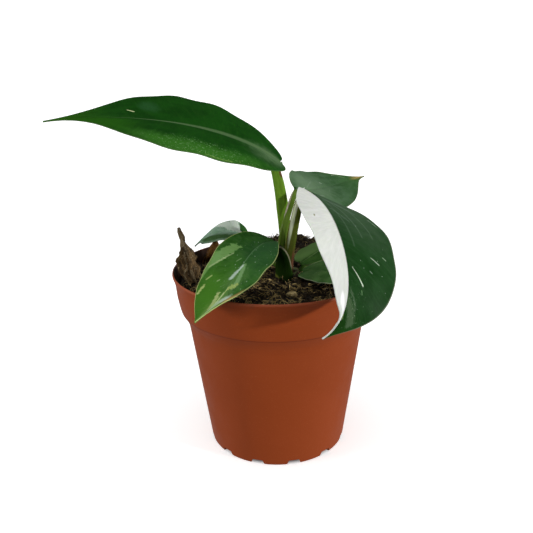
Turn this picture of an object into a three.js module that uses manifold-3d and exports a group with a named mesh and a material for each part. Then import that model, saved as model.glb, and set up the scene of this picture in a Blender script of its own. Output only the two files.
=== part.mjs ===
// A potted white princess philodendron: a climbing aroid with variegated leaves in a 12 cm grower's pot.
// Millimetres, +Z up. The origin is the centre of the pot's base, on the table. -Y is the front.
// A leaf blade is a thin solid laid out from its midrib; a petiole is a tapering stalk seated in the stem.

import * as THREE from 'three';
import { mergeVertices } from 'three/addons/utils/BufferGeometryUtils.js';
import Module from 'manifold-3d';

const wasm = await Module();
wasm.setup();

// Clearance that touching pieces keep.
const GAP = 0.3;

// The pot: radius and height along the outside of the wall, from the foot to the rim.
const POT_HEIGHT = 107;
const POT_WALL = 1.4;
const POT_FLOOR = 1.5;
const POT_SEGMENTS = 48;
const POT_OUTLINE = [
  [40.5, 0.8], [50.8, 73.5], [51.1, 75.5], [51.9, 78.5], [53.3, 81.5], [55.3, 84.5], [55.7, 86], [56.2, 88.3],
  [57.2, 93.5], [57.5, 96.5], [57.9, 100.5], [58.2, 102], [58.9, 104.5], [59.5, 105.7],
];
const POT_LIP = [[59.3, 106.7], [58.9, POT_HEIGHT], [58.5, 106.7]];
const POT_INNER_FOOT = [[39.4, 3], [38.4, POT_FLOOR]];
const POT_FOOT_RADIUS = 39.7;
const COLLAR_TOP = 100.5;

// Twelve drainage notches round the foot, wider at the table than at their top.
const NOTCH_COUNT = 12;
const NOTCH_FIRST_DEG = -47;
const NOTCH_FOOT_WIDTH = 9;
const NOTCH_TOP_WIDTH = 6;
const NOTCH_HEIGHT = 3;
const NOTCH_INNER_RADIUS = 35.5;
const NOTCH_DEPTH = 7;

// The soil: a plug that fills the pot to a little under the rim, heaped at the back and round the stem, and
// sunk at the left. Two fields of crossed waves, as [per mm of x, per mm of y, start], make its top uneven.
const SOIL_CLEARANCE = 0.35;
const SOIL_FOOT_RADIUS = 38.2;
const SOIL_SIDE_FROM = 3.5;
const SOIL_SIDE_TO = 96;
const SOIL_EDGE_HEIGHT = 101;
const SOIL_MOUNDS = [
  { x: 12, y: 45, height: 11, spreadX: 30, spreadY: 25 },
  { x: 7, y: -4, height: 3, spreadX: 22, spreadY: 18 },
];
const SOIL_EDGE_LIMIT = 106;
const SOIL_LEFT_DIP = { height: 3.6, from: -34, to: -56 };
const SOIL_RINGS = [50, 42, 34, 26, 18, 9];
const SOIL_BUMPS = [
  { height: 0.8, across: [0.42, 0.31, 1], along: [-0.22, 0.37, 2] },
  { height: 0.48, across: [0.85, -0.3, 0], along: [0.4, 0.7, 1] },
];

const STONE = { x: 9, y: -34, z: 102.6, rx: 3.4, ry: 2.6, rz: 2, turn: 0.5 };

// The stem: a short knobbly stock, mostly under the soil.
const STEM_PATH = [[9, 1, 72], [8, 0, 84], [10, 0, 96], [9, -1, 105]];
const STEM_RADII = [3, 7, 8.2, 8.6, 8, 8.8, 7.6, 4.5];
const STEM_SIDES = 14;
const STEM_KNOB = { share: 0.08, count: 3, twist: 1.9 };

// Leaf blades. mid: control points of the midrib, from the petiole to the tip. side: which way the left half
// lies (seen from above, looking to the tip) at the base, the middle and the tip. half: widths of the left
// and right halves. widest, tip and belly shape the outline, lobe is how far it reaches back behind the petiole;
// each of them is one number for both halves, or one for the left and one for the right.
// fold lifts each half from flat, at the base, the middle and the tip, and curl bends it on over its width.
const BLADE_THICKNESS = 0.8;
const RIB_DEPTH = 1.1;
const RIB_BLEND = 1.4;
const LARGE_GRID = { rows: 18, columns: [0, 0.07, 0.36, 0.7, 1] };
const SMALL_GRID = { rows: 12, columns: [0, 0.12, 0.55, 1] };

const LEAVES = {
  top_left: {
    mid: [
      [4, 0.5, 168], [-21, -11.5, 188.5], [-51, -21.5, 195.5],
      [-84.5, -24.5, 199.5], [-117.5, -23.5, 195.5],
    ],
    side: [[0.23, -0.88, -0.39], [0.12, -0.92, -0.35], [0.02, -0.92, -0.39]],
    half: [29.3, 29.6], widest: 0.38, lobe: 3.7, tip: 0.28, belly: 0.52,
    foldLeft: [5, 7, 12], foldRight: [6, 6, 14], curl: [-12, -8], wave: 0.5, grid: LARGE_GRID,
  },
  right: {
    mid: [
      [16.3, -21.1, 157], [30.6, -33.2, 153], [32.5, -53, 141.5],
      [39.5, -74.8, 126.5], [37.4, -73.9, 105], [22.5, -74.9, 95],
    ],
    side: [[0.8, 0.18, -0.33], [0.69, 0.59, 0.03], [0.72, 0.49, -0.44]],
    half: [28.8, 25.5], widest: [0.55, 0.5], lobe: [4, 1.9], tip: [0.16, 0.31], belly: [0.63, 0.88],
    foldLeft: [-5, 16, 40], foldRight: [7, 30, 38], curl: [-21, -12], wave: 0.3, grid: LARGE_GRID,
  },
  upper_right: {
    mid: [[12.5, 4, 151.5], [25, 24, 145], [40.5, 44.5, 146], [58.5, 64.5, 146]],
    side: [[-0.39, 0.77, 0.48], [-0.46, 0.8, 0.33], [-0.51, 0.82, 0.23]],
    half: [19.1, 19.5], widest: 0.39, lobe: 1.9, tip: 0.2, belly: 0.47,
    foldLeft: [9, 5, 7], foldRight: [4, 2, 4], curl: [-8, -13], wave: 0.3, grid: LARGE_GRID,
  },
  front_left: {
    mid: [[-0.1, -21.3, 128.7], [-15.6, -30.6, 132.5], [-18.2, -42.1, 110.7], [-40.3, -66.3, 101.2]],
    side: [[0.89, -0.45, -0.09], [0.69, -0.7, 0.02], [0.55, -0.8, 0.05]],
    half: [18.6, 20.8], widest: [0.37, 0.4], lobe: [0.4, -0.3], tip: [0.08, 0.05], belly: [0.63, 0.65],
    foldLeft: [8, 9, 27], foldRight: [11, 7, 14], curl: [-5, 1], wave: 0.3, grid: LARGE_GRID,
  },
  back_left: {
    mid: [[-7.5, 10, 118], [-24, 8.5, 128], [-36.5, 17, 126], [-49, 25.5, 112.5]],
    side: [[0.35, -0.92, 0.11], [0, -0.95, -0.1], [-0.28, -0.94, -0.23]],
    half: [16.2, 16.2], widest: 0.42, lobe: 4, tip: 0.22, belly: 0.5,
    foldLeft: [6, 10, 8], foldRight: [2, 8, 5], curl: [-10, -12], wave: 0.2, grid: SMALL_GRID,
  },
  mid_right: {
    mid: [[15, 3, 108], [27, 13, 112.5], [40, 23, 118.5], [56, 29.5, 116]],
    side: [[-0.35, 0.91, 0.14], [-0.29, 0.95, 0.01], [-0.26, 0.95, 0.06]],
    half: [13.6, 13.4], widest: 0.42, lobe: 1.5, tip: 0.22, belly: 0.5,
    foldLeft: [8, 3, 8], foldRight: [8, 8, 8], curl: [-12, -8], wave: 0.2, grid: SMALL_GRID,
  },
  lower_right: {
    mid: [[15.5, -9, 106.5], [27, -15, 110.5], [38, -20, 109.5], [48, -22, 103.5]],
    side: [[0.36, 0.92, 0.14], [0.33, 0.9, 0.24], [0.31, 0.89, 0.32]],
    half: [11, 12.9], widest: 0.42, lobe: 1.5, tip: 0.22, belly: 0.5,
    foldLeft: [8, 7, 8], foldRight: [9, 8, 8], curl: [-8, -8], wave: 0.2, grid: SMALL_GRID,
  },
};

// Two dead pieces stand in the soil at the left: a crumpled leaf, and behind it a curled sheath.
const DRIED_LEAF = {
  mid: [[-47, -7, 100.3], [-50, -1, 107], [-51, 7, 116], [-56, 10, 128.5]],
  side: [[-0.9, 0.3, 0.1], [-0.9, 0.3, 0], [-0.8, 0.5, 0]],
  half: [7.5, 8.5], widest: 0.4, lobe: 0, tip: 0.42, belly: 0.3,
  foldLeft: [5, 25, 50], foldRight: [10, 20, 50], curl: [30, 35], wave: 1.1, grid: SMALL_GRID,
};
const DEAD_SHEATH = {
  mid: [[-44, 30, 99], [-42, 31, 105], [-39, 32, 110], [-35.5, 32, 114]],
  side: [[-0.7, -0.4, 0.5], [-0.7, -0.4, 0.5], [-0.7, -0.4, 0.5]],
  half: [4, 4.5], widest: 0.55, lobe: 0.2, tip: 0.04, belly: 0.85,
  foldLeft: [10, 10, 10], foldRight: [10, 10, 10], curl: [60, 70], wave: 0.2, grid: SMALL_GRID,
};

// Petioles, from the foot in the stem to the blade. width runs along side, and depth across it, each at
// evenly spaced places from the foot to the top.
const PETIOLE_SIDES = 10;
const PETIOLES = {
  top_left: {
    path: [
      [8, 1.5, 95], [5.5, 3.9, 116.5], [7.5, 1.6, 138.8],
      [2.3, -0.3, 154.5], [2.7, 3.6, 165.1], [-2.5, -2, 170],
    ],
    side: [1, 0.1, 0], width: [6.4, 6.6, 6.8, 7.1, 6.1, 4.2], depth: [4.8, 3.6], rings: 15,
  },
  right: {
    path: [
      [9.5, -4.5, 95], [3.8, -3.1, 110.7], [10.6, -11.2, 125.5],
      [11.8, -13.4, 145.1], [14.2, -12.1, 156.1], [18.2, -23.6, 155],
    ],
    side: [1, 0.1, 0], width: [5.9, 5.8, 5.7, 5.5, 4.8, 4.2], depth: [5, 3.4], rings: 15,
  },
  upper_right: {
    path: [
      [4.8, -3.2, 95], [0.2, -6.6, 118.5], [4.9, 0.2, 136.2],
      [13, -7.7, 151.8], [10.2, -1.2, 152.6], [14.5, 6.5, 149.8],
    ],
    side: [1, 0, 0], width: [5, 4.8, 4.5, 3.9, 3.6, 3], depth: [4.2, 2.8], rings: 15,
  },
  front_left: {
    path: [[4.5, -9, 95], [5.5, -12.5, 108], [6, -15.5, 121], [1.5, -18, 127.5], [-3, -22.5, 125.7]],
    side: [0.85, -0.5, 0], width: [8.6, 4.6], depth: [4.6, 3.4], rings: 10,
  },
  back_left: {
    path: [[2.5, 4, 95], [1, 6, 108], [-2, 8.5, 115], [-11, 10, 118.5]],
    side: [0.3, -0.95, 0], width: [4.6, 3.2], depth: [4, 2.8], rings: 8,
  },
  mid_right: {
    path: [[15.5, 1.5, 95], [14.5, 1.5, 100], [13.5, 1.5, 104], [18.5, 5.5, 106.8]],
    side: [-0.5, 0.85, 0], width: [4.2, 3], depth: [3.8, 2.6], rings: 6,
  },
  lower_right: {
    path: [[15.5, -7.5, 95], [14.5, -7.5, 100], [14, -8, 103.5], [18.5, -10.3, 106]],
    side: [0.4, 0.9, 0], width: [4, 2.8], depth: [3.6, 2.4], rings: 6,
  },
};

const FINISHES = {
  terracotta: { color: 0xa5502f, roughness: 0.55 },
  soil: { color: 0x2b1f17, roughness: 0.95 },
  stone: { color: 0x8f7a58, roughness: 0.8 },
  stem: { color: 0x4d5a24, roughness: 0.7 },
  petiole: { color: 0x5c8f1e, roughness: 0.45 },
  darkGreen: { color: 0x1f5a22, roughness: 0.35 },
  midGreen: { color: 0x2f6b2c, roughness: 0.35 },
  white: { color: 0xe9ebe4, roughness: 0.4 },
  dried: { color: 0x6d5a45, roughness: 0.85 },
  deadSheath: { color: 0x7a4a22, roughness: 0.7 },
};

// A Bezier curve through any number of control points, as the leaves' midribs and the petioles follow.
class BezierPath extends THREE.Curve {
  constructor(points) {
    super();
    this.points = points.map((point) => new THREE.Vector3(...point));
  }

  getPoint(t, target = new THREE.Vector3()) {
    let row = this.points;
    while (row.length > 1) {
      row = row.slice(1).map((point, i) => row[i].clone().lerp(point, t));
    }
    return target.copy(row[0]);
  }
}

// The value at a share of the way along a list of evenly spaced ones.
function evenly(values, u) {
  const last = values.length - 1;
  const k = Math.min(Math.floor(u * last), last - 1);
  return THREE.MathUtils.lerp(values[k], values[k + 1], u * last - k);
}

// A leaf's number for one half, from one for both halves or a pair.
const ofHalf = (value, side) => (Array.isArray(value) ? value[side > 0 ? 0 : 1] : value);

const clamp01 = (value) => Math.min(1, Math.max(0, value));
const smoothstep = (value) => value * value * (3 - 2 * value);

// A smooth run through a value at the base, one at the middle and one at the tip.
function throughThree([base, middle, tip], u) {
  const place = clamp01(u) * 2;
  if (place < 1) return base + (middle - base) * smoothstep(place);
  return middle + (tip - middle) * smoothstep(place - 1);
}

function cubic(points, t) {
  const s = 1 - t;
  const weights = [s * s * s, 3 * s * s * t, 3 * s * t * t, t * t * t];
  return [0, 1].map((axis) => points.reduce((sum, point, i) => sum + weights[i] * point[axis], 0));
}

// One half of the flat outline, from beside the petiole round the lobe to the tip, as [along, across].
const OUTLINE_SPLIT = 0.42;
const SINUS_HALF_WIDTH = 1.5;
const TIP_HALF_WIDTH = 0.3;
const LOBE_PULL = 2.4;
const LOBE_WIDTH_SHARE = 0.25;
const SHOULDER_PULL = 0.62;
const TIP_WIDTH_SHARE = 0.06;

function outline(leaf, length, side, t) {
  const half = ofHalf(leaf.half, side);
  const lobe = ofHalf(leaf.lobe, side);
  const wide = ofHalf(leaf.widest, side) * length;
  if (t < OUTLINE_SPLIT) {
    const back = [
      [0, SINUS_HALF_WIDTH],
      [-LOBE_PULL * lobe, SINUS_HALF_WIDTH + LOBE_WIDTH_SHARE * half],
      [wide - SHOULDER_PULL * (wide + lobe), half],
      [wide, half],
    ];
    return cubic(back, t / OUTLINE_SPLIT);
  }
  const front = [
    [wide, half],
    [wide + ofHalf(leaf.belly, side) * (length - wide), half],
    [(1 - ofHalf(leaf.tip, side)) * length, TIP_WIDTH_SHARE * half],
    [length, TIP_HALF_WIDTH],
  ];
  return cubic(front, (t - OUTLINE_SPLIT) / (1 - OUTLINE_SPLIT));
}

// A blade's frame at a place along its midrib: a point, the way of its left half and the way of its top.
function bladeFrame(leaf, curve, u) {
  const tangent = curve.getTangentAt(clamp01(u));
  const origin = curve.getPointAt(clamp01(u)).addScaledVector(tangent, (u - clamp01(u)) * curve.getLength());
  const lateral = new THREE.Vector3(...[0, 1, 2].map((axis) => {
    return throughThree(leaf.side.map((direction) => direction[axis]), u);
  }));
  lateral.addScaledVector(tangent, -lateral.dot(tangent)).normalize();
  return { origin, lateral, normal: tangent.clone().cross(lateral) };
}

// The point of a blade's middle surface at t along its outline and v from the midrib to the margin.
const VEIN_SWEEP = 1.25;
const WAVE_COUNT = 5;
const WAVE_OFFSET = 1.3;

function bladePoint(leaf, curve, side, t, v) {
  const length = curve.getLength();
  const half = ofHalf(leaf.half, side);
  const [edgeAlong, edgeAcross] = outline(leaf, length, side, t);
  const along = length * t ** VEIN_SWEEP * (1 - v) + edgeAlong * v;
  const across = edgeAcross * v;
  const u = along / length;
  const { origin, lateral, normal } = bladeFrame(leaf, curve, u);
  const fold = THREE.MathUtils.degToRad(throughThree(side > 0 ? leaf.foldLeft : leaf.foldRight, u));
  const curl = THREE.MathUtils.degToRad(ofHalf(leaf.curl, side));
  const reach = across / half;
  const out = (Math.sin(fold + curl * reach) - Math.sin(fold)) * half / curl;
  const lift = (Math.cos(fold) - Math.cos(fold + curl * reach)) * half / curl;
  const wave = leaf.wave * Math.sin(2 * Math.PI * WAVE_COUNT * u + WAVE_OFFSET * side) * reach * reach;
  return origin.addScaledVector(lateral, side * out).addScaledVector(normal, lift + wave);
}

// A closed solid from a grid of points: the grid's two faces, set apart along its normals, and the wall
// between. Near the rib the normals turn to the rib's own, so that a folded blade's halves meet on one plane.
function thickSheet(grid, rib, grow) {
  const rows = grid.length;
  const columns = grid[0].length;
  const middle = grid.map((row) => row.map((point) => point.clone()));
  if (grow > 0) {
    const pushOut = (i, j, di, dj) => {
      const step = grid[i][j].clone().sub(grid[i - di][j - dj]).normalize();
      middle[i][j].addScaledVector(step, grow);
    };
    for (let i = 0; i < rows; i++) {
      pushOut(i, 0, 0, -1);
      pushOut(i, columns - 1, 0, 1);
    }
    for (let j = 0; j < columns; j++) {
      pushOut(0, j, -1, 0);
      pushOut(rows - 1, j, 1, 0);
    }
  }
  const at = (i, j) => i * columns + j;
  const faces = [];
  for (let i = 0; i < rows - 1; i++) {
    for (let j = 0; j < columns - 1; j++) {
      faces.push(at(i, j), at(i + 1, j), at(i + 1, j + 1));
      faces.push(at(i, j), at(i + 1, j + 1), at(i, j + 1));
    }
  }
  const sheet = new THREE.BufferGeometry().setFromPoints(middle.flat());
  sheet.setIndex(faces);
  sheet.computeVertexNormals();
  const normals = sheet.getAttribute('normal');
  const count = rows * columns;
  const points = [];
  for (const face of [1, -1]) {
    middle.flat().forEach((point, k) => {
      const row = Math.floor(k / columns);
      const onRib = k % columns === rib.column;
      const fromRib = grid[row][rib.column].distanceTo(grid[row][k % columns]);
      const normal = new THREE.Vector3().fromBufferAttribute(normals, k);
      normal.lerp(rib.normals[row], 1 - clamp01(fromRib / RIB_BLEND)).normalize();
      const keel = onRib && face < 0 ? RIB_DEPTH * (1 - row / rows) : 0;
      points.push(point.clone().addScaledVector(normal, face * (BLADE_THICKNESS / 2 + grow) - keel));
    });
  }
  const index = [];
  for (let k = 0; k < faces.length; k += 3) {
    const [a, b, c] = faces.slice(k, k + 3);
    index.push(a, b, c, a + count, c + count, b + count);
  }
  const rim = [];
  for (let j = 0; j < columns - 1; j++) rim.push(at(0, j));
  for (let i = 0; i < rows - 1; i++) rim.push(at(i, columns - 1));
  for (let j = columns - 1; j > 0; j--) rim.push(at(rows - 1, j));
  for (let i = rows - 1; i > 0; i--) rim.push(at(i, 0));
  rim.forEach((a, k) => {
    const b = rim[(k + 1) % rim.length];
    index.push(a, b, b + count, a, b + count, a + count);
  });
  const geometry = new THREE.BufferGeometry().setFromPoints(points);
  geometry.setIndex(index);
  return geometry;
}

// A leaf blade as a solid. part is 'whole', or 'left' or 'right' for a half that stops at the midrib.
function blade(leaf, part = 'whole', grow = 0) {
  const curve = new BezierPath(leaf.mid);
  const { rows, columns } = leaf.grid;
  const steps = [];
  if (part !== 'left') columns.slice(1).reverse().forEach((v) => steps.push([-1, v]));
  steps.push([part === 'right' ? -1 : 1, 0]);
  if (part !== 'right') columns.slice(1).forEach((v) => steps.push([1, v]));
  const rib = { column: steps.findIndex(([, v]) => v === 0), normals: [] };
  const seamShift = { whole: 0, left: GAP / 2, right: -GAP / 2 }[part];
  const grid = [];
  for (let i = 0; i <= rows; i++) {
    const row = steps.map(([side, v]) => bladePoint(leaf, curve, side, i / rows, v));
    const { lateral, normal } = bladeFrame(leaf, curve, (i / rows) ** VEIN_SWEEP);
    row[rib.column].addScaledVector(lateral, seamShift);
    rib.normals.push(normal);
    grid.push(row);
  }
  return solid(thickSheet(grid, rib, grow));
}

// A closed solid through a row of rings, each a list of the same number of points.
function throughRings(rings) {
  const sides = rings[0].length;
  const last = (rings.length - 1) * sides;
  const index = [];
  for (let ring = 0; ring < last; ring += sides) {
    for (let k = 0; k < sides; k++) {
      const here = ring + k;
      const beside = ring + (k + 1) % sides;
      index.push(here, beside, beside + sides, here, beside + sides, here + sides);
    }
  }
  for (let k = 1; k < sides - 1; k++) {
    index.push(0, k + 1, k, last, last + k, last + k + 1);
  }
  const geometry = new THREE.BufferGeometry().setFromPoints(rings.flat());
  geometry.setIndex(index);
  return solid(geometry);
}

// A tapering stalk along a path, of flattened round section, closed at both ends.
function stalk({ path, side, width, depth, rings }, grow = 0) {
  const curve = new BezierPath(path);
  const across = new THREE.Vector3(...side);
  const sections = [];
  for (let i = 0; i <= rings; i++) {
    const u = i / rings;
    const tangent = curve.getTangentAt(u);
    const lateral = across.clone().addScaledVector(tangent, -across.dot(tangent)).normalize();
    const normal = tangent.clone().cross(lateral);
    const end = i === 0 ? -grow : i === rings ? grow : 0;
    const centre = curve.getPointAt(u).addScaledVector(tangent, end);
    const a = evenly(width, u) / 2 + grow;
    const b = evenly(depth, u) / 2 + grow;
    sections.push(Array.from({ length: PETIOLE_SIDES }, (_, k) => {
      const angle = 2 * Math.PI * k / PETIOLE_SIDES;
      return centre.clone().addScaledVector(lateral, a * Math.cos(angle))
        .addScaledVector(normal, b * Math.sin(angle));
    }));
  }
  return throughRings(sections);
}

// A three.js geometry as a solid that can be joined and cut: its vertices merged and its empty faces dropped.
function solid(geometry) {
  const bare = geometry.clone();
  bare.deleteAttribute('normal');
  bare.deleteAttribute('uv');
  const merged = mergeVertices(bare, 1e-4);
  const source = merged.getIndex().array;
  const triVerts = [];
  for (let k = 0; k < source.length; k += 3) {
    const [a, b, c] = source.slice(k, k + 3);
    if (a !== b && b !== c && c !== a) triVerts.push(a, b, c);
  }
  const vertProperties = new Float32Array(merged.getAttribute('position').array);
  const joined = new wasm.Mesh({ numProp: 3, vertProperties, triVerts: new Uint32Array(triVerts) });
  return new wasm.Manifold(joined);
}

// The largest body of a solid, without the loose scraps that a cut can leave.
function mainBody(manifold) {
  return manifold.decompose().reduce((a, b) => (a.volume() > b.volume() ? a : b));
}

function mesh(name, manifold, finish) {
  const { vertProperties, triVerts } = manifold.getMesh();
  const geometry = new THREE.BufferGeometry();
  geometry.setAttribute('position', new THREE.BufferAttribute(new Float32Array(vertProperties), 3));
  geometry.setIndex([...triVerts]);
  geometry.computeVertexNormals();
  const material = new THREE.MeshStandardMaterial({ ...finish, metalness: 0 });
  const piece = new THREE.Mesh(geometry, material);
  piece.name = name;
  return piece;
}

// The pot's wall turned round the axis, with the drainage notches cut through the foot.
function pot() {
  const inside = POT_OUTLINE.map(([radius, height]) => [radius - POT_WALL, height]).reverse();
  const profile = [
    [0, 0], [POT_FOOT_RADIUS, 0],
    ...POT_OUTLINE, ...POT_LIP, ...inside.slice(0, -1), ...POT_INNER_FOOT,
    [0, POT_FLOOR],
  ];
  const points = profile.map(([radius, height]) => new THREE.Vector2(radius, height));
  const wall = solid(new THREE.LatheGeometry(points, POT_SEGMENTS).rotateX(Math.PI / 2));
  const belowTheTable = -1;
  const notchOutline = new THREE.Shape([
    [-NOTCH_FOOT_WIDTH / 2, belowTheTable], [NOTCH_FOOT_WIDTH / 2, belowTheTable],
    [NOTCH_TOP_WIDTH / 2, NOTCH_HEIGHT], [-NOTCH_TOP_WIDTH / 2, NOTCH_HEIGHT],
  ].map(([x, y]) => new THREE.Vector2(x, y)));
  let cut = wall;
  for (let k = 0; k < NOTCH_COUNT; k++) {
    const angle = THREE.MathUtils.degToRad(NOTCH_FIRST_DEG + 360 / NOTCH_COUNT * k);
    const notch = new THREE.ExtrudeGeometry(notchOutline, { depth: NOTCH_DEPTH, bevelEnabled: false });
    notch.rotateX(Math.PI / 2).translate(0, -NOTCH_INNER_RADIUS, 0).rotateZ(angle);
    cut = cut.subtract(solid(notch));
  }
  return cut;
}

// The inner radius of the pot at a height.
function innerRadius(height) {
  for (let k = 1; k < POT_OUTLINE.length; k++) {
    const [radiusBelow, below] = POT_OUTLINE[k - 1];
    const [radiusAbove, above] = POT_OUTLINE[k];
    if (height <= above) {
      return THREE.MathUtils.mapLinear(height, below, above, radiusBelow, radiusAbove) - POT_WALL;
    }
  }
  return 0;
}

// The height of the soil's top at a place in the pot.
function soilHeight(x, y) {
  const mound = SOIL_MOUNDS.reduce((sum, heap) => {
    const away = ((x - heap.x) / heap.spreadX) ** 2 + ((y - heap.y) / heap.spreadY) ** 2;
    return sum + heap.height * Math.exp(-away);
  }, 0);
  const towardsLeft = clamp01((x - SOIL_LEFT_DIP.from) / (SOIL_LEFT_DIP.to - SOIL_LEFT_DIP.from));
  const dip = SOIL_LEFT_DIP.height * smoothstep(towardsLeft);
  const wave = ([perX, perY, start]) => Math.sin(perX * x + perY * y + start);
  const bumps = SOIL_BUMPS.reduce((sum, bump) => sum + bump.height * wave(bump.across) * wave(bump.along), 0);
  return SOIL_EDGE_HEIGHT + mound - dip + bumps;
}

// The soil: a turned plug whose top follows the height of the mounded surface.
function soil() {
  const floor = POT_FLOOR + GAP;
  const sideHeights = [SOIL_SIDE_FROM];
  for (const [, height] of POT_OUTLINE) {
    if (height > SOIL_SIDE_FROM && height < SOIL_SIDE_TO) sideHeights.push(height);
  }
  const side = sideHeights.map((height) => [innerRadius(height) - SOIL_CLEARANCE, height]);
  const profile = [[0, floor], [SOIL_FOOT_RADIUS - SOIL_CLEARANCE, floor], ...side];
  const topStart = profile.length;
  const edgeRadius = innerRadius(COLLAR_TOP) - SOIL_CLEARANCE;
  for (const radius of [edgeRadius, ...SOIL_RINGS, 0]) profile.push([radius, SOIL_EDGE_HEIGHT]);
  const points = profile.map(([radius, height]) => new THREE.Vector2(radius, height));
  const plug = new THREE.LatheGeometry(points, POT_SEGMENTS).rotateX(Math.PI / 2);
  const position = plug.getAttribute('position');
  for (let k = 0; k < position.count; k++) {
    if (k % profile.length < topStart) continue;
    const x = position.getX(k);
    const y = position.getY(k);
    const onEdge = k % profile.length === topStart;
    const height = Math.min(soilHeight(x, y), onEdge ? SOIL_EDGE_LIMIT : Infinity);
    const shrink = onEdge ? (innerRadius(Math.min(height, COLLAR_TOP)) - SOIL_CLEARANCE) / edgeRadius : 1;
    position.setXYZ(k, x * shrink, y * shrink, height);
  }
  return solid(plug);
}

function stone(grow = 0) {
  const pebble = new THREE.IcosahedronGeometry(1, 2);
  pebble.scale(STONE.rx + grow, STONE.ry + grow, STONE.rz + grow);
  return solid(pebble.rotateZ(STONE.turn).translate(STONE.x, STONE.y, STONE.z));
}

function stem(grow = 0) {
  const curve = new BezierPath(STEM_PATH);
  const last = STEM_RADII.length - 1;
  return throughRings(STEM_RADII.map((radius, i) => {
    const end = i === 0 ? -grow : i === last ? grow : 0;
    const centre = curve.getPointAt(i / last).add(new THREE.Vector3(0, 0, end));
    return Array.from({ length: STEM_SIDES }, (_, k) => {
      const angle = 2 * Math.PI * k / STEM_SIDES;
      const knob = STEM_KNOB.share * Math.sin(STEM_KNOB.count * angle + STEM_KNOB.twist * i);
      const reach = radius * (1 + knob) + grow;
      return new THREE.Vector3(reach * Math.cos(angle), reach * Math.sin(angle), 0).add(centre);
    });
  }));
}

// Every petiole, seated under its own blade, and cut clear of those before it where they press together.
function petioles() {
  const made = {};
  const taken = [];
  for (const [name, petiole] of Object.entries(PETIOLES)) {
    let body = stalk(petiole).subtract(blade(LEAVES[name], 'whole', GAP));
    for (const lift of [0, -GAP]) body = body.subtract(blade(LEAVES[name]).translate([0, 0, lift]));
    for (const neighbour of taken) body = body.subtract(neighbour);
    made[name] = mainBody(body);
    taken.push(stalk(petiole, GAP));
  }
  return { made, taken };
}

const plant = new THREE.Group();

const { made: petioleSolids, taken: petioleRoom } = petioles();
let stemSolid = stem();
let soilSolid = soil().subtract(stem(GAP)).subtract(stone(GAP))
  .subtract(blade(DRIED_LEAF, 'whole', GAP)).subtract(blade(DEAD_SHEATH, 'whole', GAP));
for (const room of petioleRoom) {
  stemSolid = stemSolid.subtract(room);
  soilSolid = soilSolid.subtract(room);
}

const pieces = [
  ['pot', pot(), FINISHES.terracotta],
  ['soil', mainBody(soilSolid), FINISHES.soil],
  ['stone', stone(), FINISHES.stone],
  ['stem', mainBody(stemSolid), FINISHES.stem],
  ...Object.entries(petioleSolids).map(([name, petiole]) => [`petiole_${name}`, petiole, FINISHES.petiole]),
  ['leaf_top_left', blade(LEAVES.top_left), FINISHES.darkGreen],
  ['leaf_right_green_half', blade(LEAVES.right, 'left'), FINISHES.darkGreen],
  ['leaf_right_white_half', blade(LEAVES.right, 'right'), FINISHES.white],
  ['leaf_upper_right', blade(LEAVES.upper_right), FINISHES.darkGreen],
  ['leaf_front_left', blade(LEAVES.front_left), FINISHES.midGreen],
  ['leaf_back_left', blade(LEAVES.back_left), FINISHES.midGreen],
  ['leaf_mid_right', blade(LEAVES.mid_right), FINISHES.midGreen],
  ['leaf_lower_right', blade(LEAVES.lower_right), FINISHES.darkGreen],
  ['dried_leaf', blade(DRIED_LEAF), FINISHES.dried],
  ['dead_sheath', blade(DEAD_SHEATH), FINISHES.deadSheath],
];
for (const [name, manifold, finish] of pieces) plant.add(mesh(name, manifold, finish));

export default plant;
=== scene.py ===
"""A potted white princess philodendron, dressed for its portrait.

Forms are in millimetres until their mesh is made; materials, loose soil and studio are in metres. Every
piece stands where its solid stands and rides on the one body of the plant and its pot.
"""

import math

import bmesh
import bpy
import numpy as np
from mathutils import Matrix, Vector, noise


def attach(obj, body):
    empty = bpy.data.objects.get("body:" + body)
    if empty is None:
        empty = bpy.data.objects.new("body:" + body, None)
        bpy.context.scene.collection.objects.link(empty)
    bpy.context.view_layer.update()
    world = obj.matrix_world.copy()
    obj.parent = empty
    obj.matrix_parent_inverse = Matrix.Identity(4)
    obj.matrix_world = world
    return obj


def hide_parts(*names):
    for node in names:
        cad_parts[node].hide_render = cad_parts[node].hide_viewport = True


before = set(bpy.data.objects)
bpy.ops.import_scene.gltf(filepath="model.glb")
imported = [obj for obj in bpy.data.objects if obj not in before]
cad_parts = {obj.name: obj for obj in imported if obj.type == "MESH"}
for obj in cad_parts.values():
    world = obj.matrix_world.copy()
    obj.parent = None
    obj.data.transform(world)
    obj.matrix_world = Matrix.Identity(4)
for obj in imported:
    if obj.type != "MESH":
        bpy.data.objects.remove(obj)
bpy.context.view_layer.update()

# Pot.
# A terracotta-coloured grower's pot, injection moulded in one shot of polypropylene: a plain tapered wall,
# a deeper collar that lets pots stack, a rolled rim and twelve drainage notches round the foot.

# An outline is radius and height, from the foot up. A notch's is across and up, as seen from outside.
POT_WALL = 1.4
POT_OUTLINE = [
    (39.7, 0), (40.5, 0.8), (50.8, 73.5), (51.1, 75.5), (51.9, 78.5), (53.3, 81.5), (55.3, 84.5), (55.7, 86),
    (56.2, 88.3), (57.2, 93.5), (57.5, 96.5), (57.9, 100.5), (58.2, 102), (58.9, 104.5), (59.5, 105.7),
    (59.3, 106.7), (58.9, 107),
]
POT_FLOOR = [(0, 1.5), (38.2, 1.5), (39.4, 3)]
RIM_INSIDE = [(58.1, 105.7), (58.5, 106.7)]
POT_SEGMENTS = 192
COLLAR_EDGE = 84.4
NOTCH_COUNT = 12
NOTCH_FIRST = math.radians(-47)
NOTCH_OUTLINE = [(-4.5, -1), (4.5, -1), (3, 3), (-3, 3)]
NOTCH_FROM = 35.5
NOTCH_TO = 42.5


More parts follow.
